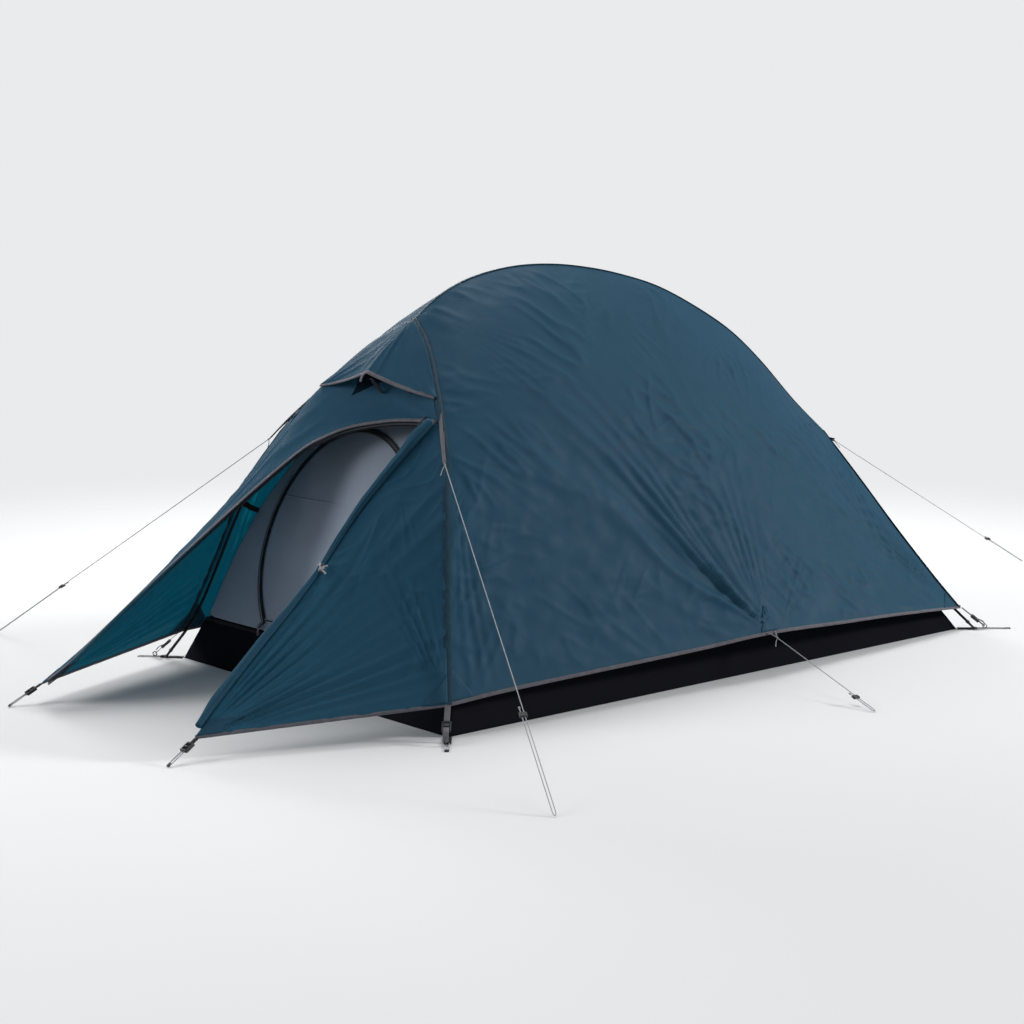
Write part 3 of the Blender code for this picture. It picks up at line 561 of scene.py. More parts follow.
def fan(a, b, f):      # folds that spread from a pulled point, a metres along the panel and b up it
    da, db = a - f["start"][0], b - f["start"][1]
    reach = hypot(da, db)
    share = reach / f["reach"]
    if share >= 1:
        return 0.0
    turn = degrees(atan2(da, db)) - f["heading"]
    turn = (turn + 180) % 360 - 180
    side = exp(-(turn / f["spread"]) ** 2)
    if side < 0.01:
        return 0.0
    wander = noise.noise(Vector((reach * 3.5, turn * 0.05, f["seed"])))
    uneven = 0.62 + 0.75 * noise.noise(Vector((turn / f["period"] * 0.6, reach * 2.0, f["seed"] + 9.0)))
    wave = sin(2 * pi * turn / f["period"] + 2.2 * wander + f["seed"])
    rise = min(1.0, share / 0.22) * (1 - share) ** 0.8
    return f["depth"] * side * rise * uneven * crest(wave)


def ripples(p, size, seed):
    return noise.noise(Vector((p.x / size, p.y / size * 0.6, p.z / size + seed)))


def creases(a, b, c):      # short sharp creases that run along one direction of the panel
    turn = radians(c["heading"])
    onward, across = a * sin(turn) + b * cos(turn), a * cos(turn) - b * sin(turn)
    bend = 0.35 * c["size"] * noise.noise(Vector((a / 0.25, b / 0.25, c["seed"] + 3)))
    spot = Vector((onward / (c["size"] * c["stretch"]), (across + bend) / c["size"], c["seed"]))
    ridgeLine = 1 - abs(noise.noise(spot)) * 2.6
    sparse = noise.noise(Vector((a / 0.30, b / 0.24, c["seed"] + 5))) + c["cover"]
    return c["depth"] * max(0, ridgeLine) ** 3 * min(max(sparse * 2.2, 0), 1)


def edgeCalm(u, v, uEdge=0.03, vEdge=0.04):      # folds die out at the seams
    near = min(u / uEdge, (1 - u) / uEdge, v / vEdge, (1 - v) / vEdge, 1.0)
    return max(near, 0.0)


# Guy lines: one cord each, from the fly's loop to its peg loop and back up through the adjuster

guyLines = {
    "front": {"top": (0.404, 0.172, 0.668), "ground": (1.322, -0.258, 0.0030), "adjuster": 0.748},
    "middle": {"top": (0.690, 1.168, 0.110), "ground": (1.168, 1.033, 0.0030), "adjuster": 0.82},
    "rear": {"top": (0.0, 2.216, 0.548), "ground": (0.0, 3.330, 0.0030), "adjuster": 0.80},
    "spread": 0.0040,      # half the gap between the doubled strands
    "turn": 0.012,         # length of the bend at the peg
    "tail": 0.022,         # what stands above the adjuster
}


def guyRoute(top, ground, share):
    way = (ground - top).normalized()
    side = way.cross(Vector((0, 0, 1))).normalized()
    spread, turn = guyLines["spread"], guyLines["turn"]
    back = top.lerp(ground, share) - way * guyLines["tail"]
    route = [top.lerp(ground - way * turn, n / 24) for n in range(24)]
    for n in range(13):
        angle = pi * n / 12
        route.append(ground - way * turn + way * turn * sin(angle) + side * spread * (1 - cos(angle)))
    bend = route[-1]
    for n in range(1, 13):
        route.append(bend.lerp(back + side * 2 * spread, n / 12))
    return route


def stopKnot(bm, place, way, radius, tail=0.0):
    # an overhand knot: three tilted turns of the cord, and its loose tail
    for n, tilt in enumerate((-0.5, 0.0, 0.5)):
        spot = place + way * radius * 1.5 * (n - 1)
        turned = frameAt(spot, way, Vector((0.2, 0.3, 1))) @ Matrix.Rotation(tilt, 4, "X")
        addRing(bm, radius * 1.15, radius * 0.95, turned, 14, 8)
    if tail:
        drop = way.cross(Vector((0, 0, 1))).normalized() * 0.5 + Vector((0, 0, -0.6)) + way * 0.3
        line = smoothLine([place, place + drop * tail * 0.5, place + drop * tail + way * tail * 0.2], 7)
        sweep(bm, line, roundProfile(radius * 0.9, 8), Vector((0.3, 1, 0.2)))


def makeGuyLine(name, top, ground, share, material):
    route = guyRoute(top, ground, share)
    bm = startBmesh()
    sweep(bm, route, roundProfile(tent["cordDiameter"] / 2, 8), Vector((0, 0, 1)))
    cord = finishMesh("guyCord_" + name, bm, material, "tent", 60)
    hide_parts("guy_line_" + name)
    way = (ground - top).normalized()
    bm = startBmesh()
    stopKnot(bm, top + way * 0.006, way, tent["cordDiameter"] / 2, 0.030)
    stopKnot(bm, route[-1], way, tent["cordDiameter"] / 2)
    knots = finishMesh("guyKnots_" + name, bm, material, "tent", 60)
    lengthOf(route)


def makeGuyLines(material):
    for end in ("front", "middle"):
        facts = guyLines[end]
        for sign, mark in ((1, "right"), (-1, "left")):
            makeGuyLine(end + "_" + mark, sided(at(*facts["top"]), sign), sided(at(*facts["ground"]), sign),
                        facts["adjuster"], material)
    facts = guyLines["rear"]
    makeGuyLine("rear", at(*facts["top"]), at(*facts["ground"]), facts["adjuster"], material)
    print("guy lines made")


# Flysheet panels

sideCloth = {
    "columns": 262,
    "rows": 172,
    "flat": (2.14, 1.30),
    "cutShare": 0.80,      # the cut's area as a share of its rectangle
    "ripple": 0.0016,
    "folds": [      # start along and up the panel, heading from straight up towards the rear, degrees
        {"start": (1.190, -0.02), "heading": -33, "spread": 8.5, "period": 3.9, "reach": 1.02,
         "depth": 0.0220, "seed": 1.3},
        {"start": (1.190, -0.02), "heading": -42, "spread": 17, "period": 15.0, "reach": 1.05,
         "depth": 0.0351, "seed": 4.4},
        {"start": (1.170, -0.05), "heading": 3, "spread": 12, "period": 5.6, "reach": 1.00,
         "depth": 0.0105, "seed": 2.1},
        {"start": (1.185, -0.02), "heading": 48, "spread": 18, "period": 9.0, "reach": 0.50,
         "depth": 0.0079, "seed": 7.7},
        {"start": (2.150, -0.03), "heading": -27, "spread": 17, "period": 5.6, "reach": 0.98,
         "depth": 0.0166, "seed": 3.2},
        {"start": (2.150, -0.01), "heading": -62, "spread": 14, "period": 6.0, "reach": 0.55,
         "depth": 0.0088, "seed": 5.9},
        {"start": (2.180, 0.84), "heading": -156, "spread": 15, "period": 5.2, "reach": 0.72,
         "depth": 0.0149, "seed": 6.5},
        {"start": (2.180, 0.84), "heading": -116, "spread": 12, "period": 6.0, "reach": 0.80,
         "depth": 0.0096, "seed": 8.1},
        {"start": (0.195, 0.66), "heading": -170, "spread": 8, "period": 4.2, "reach": 0.80,
         "depth": 0.0131, "seed": 0.7},
        {"start": (0.000, -0.02), "heading": 14, "spread": 9, "period": 4.6, "reach": 0.70,
         "depth": 0.0105, "seed": 9.2},
        {"start": (0.385, 1.08), "heading": 128, "spread": 20, "period": 6.5, "reach": 0.50,
         "depth": 0.0046, "seed": 2.8},
        {"start": (0.190, 0.66), "heading": 118, "spread": 16, "period": 9.0, "reach": 0.55,
         "depth": 0.0070, "seed": 5.1},
    ],
    "crumple": {"middle": (0.36, 0.30), "radius": (0.42, 0.28), "size": 0.055, "depth": 0.0050},
    "creases": [
        {"heading": -38, "size": 0.060, "stretch": 4.0, "cover": 0.10, "depth": 0.0061, "seed": 11.0},
        {"heading": 40, "size": 0.075, "stretch": 3.2, "cover": -0.02, "depth": 0.0054, "seed": 14.0},
        {"heading": -70, "size": 0.045, "stretch": 3.0, "cover": 0.00, "depth": 0.0040, "seed": 17.0},
    ],
}


def sideBase(sign):
    corners = (frontHem, rearHem, frontHubTop, rearHubTop)

    def surface(u, v):
        low, high = along(hem, u), along(ridge, u)
        front, rear = along(frontSeam, v), along(rearSeam, v)
        flat = (corners[0].lerp(corners[1], u)).lerp(corners[2].lerp(corners[3], u), v)
        return sided(low.lerp(high, v) + front.lerp(rear, u) - flat, sign)

    return surface


def sideSurface(sign):
    base = sideBase(sign)
    crumple = sideCloth["crumple"]

    def surface(u, v):
        p = base(u, v)
        foot = along(hem, u)
        a = p.y - tent["frontLine"]
        b = hypot(foot.x - abs(p.x), p.z - foot.z)
        seed = 0.0 if sign > 0 else 31.0
        lift = sum(fan(a, b, dict(f, seed=f["seed"] + seed)) for f in sideCloth["folds"])
        lift += sideCloth["ripple"] * ripples(p, 0.22, 1.0 + seed)
        da = (a - crumple["middle"][0]) / crumple["radius"][0]
        db = (b - crumple["middle"][1]) / crumple["radius"][1]
        lift += crumple["depth"] * exp(-da * da - db * db) * ripples(p, crumple["size"], 5.0 + seed)
        lift += sum(creases(a, b, dict(c, seed=c["seed"] + seed)) for c in sideCloth["creases"])
        return p + normalAt(base, u, v) * lift * edgeCalm(u, v, 0.025, 0.03)

    return surface


def makeSides(cloth):
    for sign, mark in ((1, "right"), (-1, "left")):
        piece = clothPiece("sideCloth_" + mark, sideSurface(sign), sideCloth["columns"], sideCloth["rows"],
                           sideCloth["flat"], cloth, "tent")
        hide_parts("fly_side_" + mark)
    print("side panels made")


rearCloth = {
    "columns": 90,
    "rows": 60,
    "flat": (1.26, 0.54),
    "area": 0.335,
    "bulge": 0.020,
    "ripple": 0.0015,
    "foot": 0.068,      # the hem's height
    "folds": [
        {"start": (-0.64, -0.02), "heading": 52, "spread": 16, "period": 6.0, "reach": 0.75,
         "depth": 0.0060, "seed": 1.9},
        {"start": (0.64, -0.02), "heading": -52, "spread": 16, "period": 6.0, "reach": 0.75,
         "depth": 0.0060, "seed": 3.9},
        {"start": (0.0, 0.58), "heading": 180, "spread": 24, "period": 9.0, "reach": 0.60,
         "depth": 0.0050, "seed": 5.9},
    ],
}


def rearBase(u, v):
    seam = along(rearSeam, v)
    across = (2 * u - 1) * seam.x
    bulge = rearCloth["bulge"] * (1 - (2 * u - 1) ** 2) * sin(pi * v)
    return Vector((across, seam.y + 0.004 + bulge, seam.z))


def rearSurface(u, v):
    p = rearBase(u, v)
    lift = sum(fan(p.x, p.z - rearCloth["foot"], f) for f in rearCloth["folds"])
    lift += rearCloth["ripple"] * ripples(p, 0.15, 4.0)
    return p + normalAt(rearBase, u, v) * lift * edgeCalm(u, v, 0.04, 0.05)


def makeRear(cloth):
    piece = clothPiece("rearCloth", rearSurface, rearCloth["columns"], rearCloth["rows"], rearCloth["flat"],
                       cloth, "tent")
    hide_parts("fly_rear")


wingCloth = {
    "columns": 120,
    "rows": 170,
    "flat": (0.68, 1.12),
    "cutShare": 0.42,
    "sag": 0.010,
    "topShare": 37 / 60 * 0.985,      # where the wing stops on the leg seam
    "folds": [
        {"start": (-0.01, -0.01), "heading": 77, "spread": 9, "period": 3.9, "reach": 0.78,
         "depth": 0.0228, "seed": 1.1},
        {"start": (-0.01, -0.01), "heading": 57, "spread": 11, "period": 4.2, "reach": 1.05,
         "depth": 0.0204, "seed": 2.6},
        {"start": (0.640, 0.66), "heading": -177, "spread": 7, "period": 7.0, "reach": 0.72,
         "depth": 0.0024, "seed": 4.3},
        {"start": (0.650, -0.02), "heading": -10, "spread": 12, "period": 5.4, "reach": 0.60,
         "depth": 0.0060, "seed": 6.8},
    ],
    "creases": [
        {"heading": 40, "size": 0.050, "stretch": 5.0, "cover": 0.12, "depth": 0.0058, "seed": 21.0},
        {"heading": 75, "size": 0.045, "stretch": 3.0, "cover": 0.00, "depth": 0.0043, "seed": 24.0},
    ],
}
wingAlong = (frontHem - vestibuleCorner).normalized()      # along the wing's hem, from the pegged corner
wingUp = wingAlong.cross((wingTop - vestibuleCorner).cross(wingAlong)).normalized() * -1
wingUp = wingUp if wingUp.z > 0 else -wingUp


def wingBase(sign):
    def surface(u, v):
        seam = along(frontSeam, v * wingCloth["topShare"])
        outer = along(wingRidge, v)
        place = seam.lerp(outer, u)
        sag = wingCloth["sag"] * sin(pi * u) * sin(pi * v)
        return Vector(((place.x + sag * -0.6) * sign, place.y - 0.002, place.z))

    return surface


def wingSurface(sign):
    base = wingBase(sign)

    def surface(u, v):
        p = base(u, v)
        reach = sided(p, sign) - vestibuleCorner
        a, b = reach.dot(wingAlong), reach.dot(wingUp)
        seed = 0.0 if sign > 0 else 17.0
        lift = sum(fan(a, b, dict(f, seed=f["seed"] + seed)) for f in wingCloth["folds"])
        lift += 0.0014 * ripples(p, 0.16, 2.0 + seed)
        lift += sum(creases(a, b, dict(c, seed=c["seed"] + seed)) for c in wingCloth["creases"])
        return p + normalAt(base, min(max(u, 0.02), 0.98), min(max(v, 0.02), 0.98)) * lift * edgeCalm(u, v)

    return surface


def makeWings(cloth):
    for sign, mark, body in ((1, "right", "wing"), (-1, "left", "tent")):
        piece = clothPiece("wingCloth_" + mark, wingSurface(sign), wingCloth["columns"], wingCloth["rows"],
                           wingCloth["flat"], cloth, body)
        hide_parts("vestibule_wing_" + mark)
    print("wings made")


frontCloth = {
    "columns": 200,
    "rows": 40,
    "flat": (2.05, 0.26),
    "area": 0.235,
    "archShare": 0.46,      # how much of the zip lies over the door, and not down the far side
    "dip": 0.032,
    "gathers": 62,          # puckers along the zip's binding
    "gather": 0.0022,
    "ripple": 0.0016,
    "pleats": 3,
    "pleat": 0.0022,
}


def frontBase(u, v):
    lower = along(zipLine, u)
    split = frontCloth["archShare"]
    if u < split:
        t = u / split
        arch = 0.655 + 0.345 * min(2 * t, 2 - 2 * t)
        upper = along(frontSeam, arch)
        upper = Vector((upper.x if t < 0.5 else -upper.x, upper.y - 0.012, upper.z - 0.010))
    else:
        upper = along(wingRidge, 1 - (u - split) / (1 - split))
        upper = Vector((-upper.x + 0.003, upper.y - 0.003, upper.z))
    place = lower.lerp(upper, v)
    dip = frontCloth["dip"] * sin(pi * v) * max(0, sin(pi * min(u / split, 1)))
    return Vector((place.x, place.y + 0.30 * dip, place.z - dip))


def frontSurface(u, v):
    p = frontBase(u, v)
    ruffle = max(0, 1 - v / 0.7) * max(0, 1 - u / 0.60)      # gathered by the zip's tape over the door
    uneven = 1.5 * noise.noise(Vector((u * 30, v * 2, 0)))
    lift = frontCloth["gather"] * ruffle * sin(u * 2 * pi * frontCloth["gathers"] + uneven)
    lift += frontCloth["ripple"] * ripples(p, 0.10, 8.0)
    wander = 2 * noise.noise(Vector((u * 9, 3, 1)))
    lift += frontCloth["pleat"] * crest(sin(2 * pi * v * frontCloth["pleats"] + wander)) * sin(pi * v)
    return p + normalAt(frontBase, min(max(u, 0.01), 0.99), min(max(v, 0.02), 0.98)) * lift * min(1, v / 0.03)


def makeFront(cloth):
    piece = clothPiece("frontCloth", frontSurface, frontCloth["columns"], frontCloth["rows"],
                       frontCloth["flat"], cloth, "tent")
    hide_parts("vestibule_front")


hoodCloth = {
    "columns": 110,
    "rows": 44,
    "flat": (0.74, 0.20),
    "area": 0.070,
    "end": 0.715,      # where the awning meets the leg seams, as a share up them
    "ripple": 0.0012,
    "binding": (0.013, 0.0042),
    "tab": (0.010, 0.0014),
    "folds": [
        {"start": (0.0, 1.03), "heading": 180, "spread": 34, "period": 17, "reach": 0.30,
         "depth": 0.0070, "seed": 0.6},
        {"start": (0.30, 0.80), "heading": -62, "spread": 16, "period": 7, "reach": 0.34,
         "depth": 0.0045, "seed": 2.2},
        {"start": (-0.30, 0.80), "heading": 62, "spread": 16, "period": 7, "reach": 0.34,
         "depth": 0.0045, "seed": 4.2},
    ],
}
hoodPeak = at(0, 0.226, 0.883)


def hoodEdge(t):      # the awning's free edge, t from -1 at the left leg to 1 at the right
    end = along(frontSeam, hoodCloth["end"])
    side = 1 if t > 0 else -1
    bow = Vector((0, 0, -0.006)) * sin(pi * abs(t))
    return hoodPeak.lerp(Vector((side * end.x, end.y - 0.010, end.z)), abs(t)) + bow


def hoodBase(u, v):
    t = 2 * u - 1
    spread = abs(t)
    arch = along(frontSeam, 1 - (1 - hoodCloth["end"]) * spread - 0.004)
    side = 1 if t > 0 else -1
    arch = Vector((side * arch.x if spread > 1e-6 else 0, arch.y - 0.003, arch.z + 0.001))
    return arch.lerp(hoodEdge(t), v) + Vector((0, -0.003, 0.004)) * sin(pi * v)


def hoodSurface(u, v):
    p = hoodBase(u, v)
    lift = sum(fan(p.x, p.z, f) for f in hoodCloth["folds"]) + hoodCloth["ripple"] * ripples(p, 0.09, 6.0)
    return p + normalAt(hoodBase, min(max(u, 0.02), 0.98), min(max(v, 0.02), 0.98)) * lift * edgeCalm(u, v)


def makeHood(cloth, tape, grey):
    piece = clothPiece("hoodCloth", hoodSurface, hoodCloth["columns"], hoodCloth["rows"], hoodCloth["flat"],
                       cloth, "tent")
    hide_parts("vent_hood")
    edge = evenLine([hoodEdge(-1 + 2 * i / 60) for i in range(61)], 90)
    bm = startBmesh()
    sweep(bm, edge, tapeProfile(*hoodCloth["binding"]), [Vector((0, -0.55, 0.83))] * len(edge))
    finishMesh("hoodBinding", bm, tape, "tent", 50)
    bm = startBmesh()
    peak = hoodPeak + Vector((-0.012, -0.002, -0.002))
    pull = smoothLine([peak + Vector((0, 0.006, 0.003)), peak + Vector((-0.002, -0.006, -0.010)),
                       peak + Vector((-0.006, -0.010, -0.026))], 9)
    sweep(bm, pull, tapeProfile(*hoodCloth["tab"]), Vector((0, -1, 0.2)))
    finishMesh("hoodTab", bm, grey, "tent", 50)
    print("hood made")


# Bindings, seams and reinforcements

trims = {
    "hemBinding": (0.0105, 0.0022),
    "seamWidth": 0.020,
    "seamThick": 0.0009,
    "seamLift": 0.0009,
}


def lineNormals(surface, points):
    return [normalAt(surface, u, v) for u, v in points]


def addTape(name, line, ups, size, material, body="tent", lift=0.0):
    bm = startBmesh()
    raised = [p + (ups[i] if isinstance(ups, list) else ups).normalized() * lift for i, p in enumerate(line)]
    sweep(bm, raised, tapeProfile(*size), ups)
    return finishMesh(name, bm, material, body, 50)


def makeBindings(tape):
    size = trims["hemBinding"]
    for sign, mark, body in ((1, "right", "wing"), (-1, "left", "tent")):
        base = sideBase(sign)
        shares = [i / 150 for i in range(151)]
        line = [base(u, 0.0) for u in shares]
        addTape("hemBinding_" + mark, line, lineNormals(base, [(u, 0.01) for u in shares]), size, tape)
        wing = wingBase(sign)
        shares = [i / 60 for i in range(61)]
        line = [wing(u, 0.0) + Vector((0, 0.002, 0)) for u in shares]
        addTape("wingHemBinding_" + mark, line, lineNormals(wing, [(u, 0.02) for u in shares]), size, tape,
                body)
    shares = [i / 60 for i in range(61)]
    line = [rearBase(u, 0.0) for u in shares]
    addTape("rearHemBinding", line, lineNormals(rearBase, [(u, 0.02) for u in shares]), size, tape)
    print("hem bindings made")


def makeSeams(seam):
    flat = (trims["seamWidth"], trims["seamThick"])
    lift = trims["seamLift"]
    for sign, mark in ((1, "right"), (-1, "left")):
        side = sideBase(sign)
        line, ups = [], []
        for i in range(121):
            v = i / 120
            line.append(sided(along(frontSeam, v), sign))
            ups.append((normalAt(side, 0.004, min(max(v, 0.01), 0.97)) * 1.6 + Vector((0, -0.8, 0.3)))
                       .normalized())
        addTape("frontSeam_" + mark, line, ups, flat, seam, lift=lift)
        line, ups = [], []
        for i in range(61):
            v = i / 60
            line.append(sided(along(rearSeam, v), sign))
            ups.append((normalAt(side, 0.996, min(max(v, 0.01), 0.97)) + Vector((0, 0.9, 0.3)))
                       .normalized())
        addTape("rearSeam_" + mark, line, ups, flat, seam, lift=lift)
    line = [p.copy() for p in ridge]
    addTape("ridgeSeam", line, Vector((0, 0.05, 1)), (0.010, 0.0009), seam, lift=0.0002)
    print("seams made")


def patchOn(bm, surface, outline, lift, steps=5):
    # a reinforcement laid on the cloth: outline is four corners in u, v
    a, b, c, d = [Vector((*p, 0)) for p in outline]
    uvLayer = bm.loops.layers.uv.verify()
    made = bmesh.ops.create_grid(bm, x_segments=steps * 2, y_segments=steps * 2, size=0.5)["verts"]
    for face in {face for vertex in made for face in vertex.link_faces}:
        for loop in face.loops:
            loop[uvLayer].uv = ((loop.vert.co.x + 0.5) * 0.1, (loop.vert.co.y + 0.5) * 0.1)
    for vertex in made:
        s, t = vertex.co.x + 0.5, vertex.co.y + 0.5
        spot = a.lerp(b, s).lerp(d.lerp(c, s), t)
        u, v = min(max(spot.x, 0.0), 1.0), min(max(spot.y, 0.0), 1.0)
        vertex.co = surface(u, v) + normalAt(surface, min(max(u, 0.01), 0.99), min(max(v, 0.01), 0.99)) * lift


patches = {
    "lift": 0.0010,
    "thick": 0.0005,
    "side": (      # at the middle guy point, the front foot and the rear foot
        ((0.532, 0.004), (0.568, 0.004), (0.553, 0.070), (0.547, 0.070)),
        ((0.0, 0.004), (0.040, 0.004), (0.010, 0.066), (0.0, 0.075)),
        ((0.960, 0.004), (1.0, 0.004), (1.0, 0.090), (0.992, 0.080)),
    ),
    "wing": (      # at the leg's foot and the pegged tip
        ((0.0, 0.006), (0.115, 0.006), (0.030, 0.072), (0.0, 0.105)),
        ((0.90, 0.004), (1.0, 0.004), (1.0, 0.055), (0.84, 0.055)),
    ),
}


def makePatches(cloth):
    for sign, mark, body in ((1, "right", "wing"), (-1, "left", "tent")):
        for panel, surface, rides in (("side", sideSurface(sign), "tent"), ("wing", wingSurface(sign), body)):
            bm = startBmesh()
            for outline in patches[panel]:
                patchOn(bm, surface, outline, patches["lift"])
            patch = finishMesh("%sPatches_%s" % (panel, mark), bm, cloth, rides)
            thicken(patch, patches["thick"])
    print("patches made")


def thicken(piece, thickness):
    wall = piece.modifiers.new("thickness", "SOLIDIFY")
    wall.thickness = thickness
    wall.offset = 0


# Zip, rolled door, toggle

zipFacts = {"teethWidth": 0.0055, "pitch": 0.0040, "toothHeight": 0.0022}


def addTeeth(bm, line, ups, pitch, width, height):
    count = int(lengthOf(line) / pitch)
    spots = evenLine(line, count + 1)
    for i in range(count):
        way = spots[i + 1] - spots[i]
        up = ups[min(int(i / count * len(ups)), len(ups) - 1)] if isinstance(ups, list) else ups
        place = frameAt(spots[i], way, way.cross(up))
        bmesh.ops.create_cube(bm, size=1, matrix=place @ Matrix.Diagonal((width, height, pitch * 0.55, 1)))


def makeZip(tapeMaterial, grey, plastic):
    shares = [i / 160 for i in range(161)]
    ups = lineNormals(frontBase, [(min(u, 0.985), 0.05) for u in shares])
    line = [frontBase(u, 0.0) for u in shares]
    addTape("zipBinding", line, ups, (0.012, 0.0030), tapeMaterial, lift=0.0006)
    lowered = [p + Vector((0, -0.001, -0.0085)) for p in line]
    addTape("zipTapeLeft", lowered, ups, (0.011, 0.0010), grey, lift=-0.0004)
    bm = startBmesh()
    addTeeth(bm, [p + Vector((0, -0.0015, -0.0140)) for p in line], ups, zipFacts["pitch"],
             zipFacts["teethWidth"], zipFacts["toothHeight"])
    finishMesh("zipTeethLeft", bm, plastic, "tent")
    print("zip made")


rollFacts = {
    "turns": 2.4,
    "flap": 0.10,            # share of the cloth between the zip's seam and the roll
    "inner": 0.42,           # the innermost turn's radius as a share of the outermost
    "around": 128,
    "rows": 190,
    "side": (-1, -1, 1),     # from the wing's ridge out to the roll
    "gap": 0.0015,
    "toggleShare": 0.515,
    "toggleReach": (0.0150, -0.0150, 0.0060),      # from the wing's ridge out to the toggle
    "loop": (0.0105, 0.0012),                      # the elastic loop's radius, and its cord's
    "keys": ((0.0, 0.0090), (0.08, 0.0125), (0.25, 0.0120), (0.40, 0.0085), (0.515, 0.0062),
             (0.62, 0.0080), (0.75, 0.0105), (0.87, 0.0140), (0.95, 0.0180), (1.0, 0.0150)),
}


def rollRadius(v):
    keys = rollFacts["keys"]
    for (a, first), (b, second) in zip(keys, keys[1:]):
        if v <= b:
            t = (v - a) / (b - a)
            return first + (second - first) * t * t * (3 - 2 * t)
    return keys[-1][1]


def rollMiddle(v):
    side = Vector(rollFacts["side"]).normalized()
    return along(wingRidge, 0.025 + 0.955 * v) + side * (rollRadius(v) + rollFacts["gap"])


def makeRoll(cloth, cordMaterial):
    turns = rollFacts["turns"]
    flap = rollFacts["flap"]

    def surface(u, v):
        ridgeSpot = along(wingRidge, 0.025 + 0.955 * v)
        spot = rollMiddle(v)
        tangent = (rollMiddle(min(v + 0.01, 1)) - rollMiddle(max(v - 0.01, 0))).normalized()
        toCamera = Vector((0.72, -0.66, 0.20))      # the side of the roll that the flap lies over
        side = tangent.cross(toCamera).normalized()
        up = side.cross(tangent)
        if (ridgeSpot - spot).dot(side) > 0:
            side = -side
        share = max(0.0, (u - flap) / (1 - flap))
        angle = 2 * pi * turns * share
        radius = rollRadius(v) * (1 + (rollFacts["inner"] - 1) * share)
        around = noise.noise(Vector((cos(angle) * 0.9, sin(angle) * 0.9, v * 7.0)))
        fine = noise.noise(Vector((cos(angle) * 3.4, sin(angle) * 3.4, v * 9.0 + 7)))
        near = exp(-((v - rollFacts["toggleShare"]) / 0.11) ** 2)
        pleat = crest(sin(3 * angle + v * 16 + 3 * noise.noise(Vector((v * 6, 0, 3)))))
        radius *= 1 + 0.20 * around + 0.10 * fine + (0.08 + 0.10 * near) * pleat
        place = spot + (side * sin(angle) + up * cos(angle)) * radius
        if u < flap:
            t = u / flap
            place = (ridgeSpot + up * 0.0010).lerp(place, t * t * (3 - 2 * t)) - up * 0.0060 * sin(pi * t)
        return place

    line = [rollMiddle(i / 60) for i in range(61)]
    flat = (2 * pi * 0.0085 * turns, lengthOf(line))
    piece = clothPiece("rolledDoorCloth", surface, rollFacts["around"], rollFacts["rows"], flat, cloth,
                       "wing", 0.0005)
    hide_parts("rolled_door")
    # the elastic loop round the roll, which the toggle goes through
    share = rollFacts["toggleShare"]
    tangent = (rollMiddle(share + 0.02) - rollMiddle(share - 0.02)).normalized()
    bm = startBmesh()
    middle = rollMiddle(share) + Vector((0.003, -0.002, 0))
    for turn in (-0.22, 0.22):
        ring = frameAt(middle, tangent + Vector((turn * 0.8, 0, turn)), Vector((0, 1, 0)))
        addRing(bm, rollFacts["loop"][0], rollFacts["loop"][1], ring, 36, 8)
    finishMesh("toggleLoop", bm, cordMaterial, "wing", 60)
    print("rolled door made")


def makeToggle(cordMaterial):
    place = along(wingRidge, rollFacts["toggleShare"]) + Vector(rollFacts["toggleReach"])
    bm = startBmesh()
    for way in (Vector((0.9, 0.2, 0.5)), Vector((-0.6, -0.1, 0.8))):
        way = way.normalized()
        line = smoothLine([place - way * 0.017 + Vector((0, 0.004, 0)), place + Vector((0, -0.004, 0.001)),
                           place + way * 0.017 + Vector((0, 0.004, 0))], 11)
        sweep(bm, line, roundProfile(0.0022, 8), Vector((0, 1, 0)))
    addRing(bm, 0.0036, 0.0016, frameAt(place, Vector((0.2, 0.1, 1)), Vector((1, 0, 0))), 18, 8)
    finishMesh("toggleTie", bm, cordMaterial, "toggle", 60)


# Inner tent, tub floor and its zip

wallFoot = (0.052, 0.128)      # y and z of the front wall's foot
wallSlope = 0.380
innerDoor = {
    "middle": (-0.063, 0.391),      # x and z of the D's round side
    "radius": 0.320,
    "hingeX": 0.210,
    "sill": 0.157,
    "gap": 0.0025,
    "rings": 34,
    "flat": (0.60, 0.56),
    "area": 0.300,
    "seamHeight": 0.500,
    "zipTape": (0.0052, 0.0010),
    "teeth": (0.0040, 0.0042, 0.0016),      # pitch, width, height
    "sliderAngle": 229,
}
tubTopFront = at(0.576, 0.048, 0.122)
tubTopRear = at(0.552, 2.052, 0.104)


def wallPoint(x, z, out=0.0):      # a point on the inner front wall, or in front of it
    lean = Vector((0, -1, wallSlope)).normalized() * out
    return at(x, wallFoot[0] + (z - wallFoot[1]) * wallSlope, z) + lean


innerArch = smoothLine([wallPoint(0.568, 0.130), wallPoint(0.530, 0.300), wallPoint(0.460, 0.469),
                        wallPoint(0.346, 0.625), wallPoint(0.232, 0.740), wallPoint(0.115, 0.846),
                        wallPoint(0.0, 0.930)], 61)
innerRearLine = smoothLine([at(0.546, 2.048, 0.112), at(0.370, 2.064, 0.235), at(0.190, 2.084, 0.360),
                            at(0.0, 2.104, 0.492)], 41)
innerRidge = smoothLine([innerArch[-1], at(0, 0.600, 1.045), at(0, 0.850, 1.090), at(0, 1.100, 1.068),
                         at(0, 1.380, 0.970), at(0, 1.800, 0.728), innerRearLine[-1]], 61)
innerFoot = evenLine([innerArch[0], innerRearLine[0]], 41)


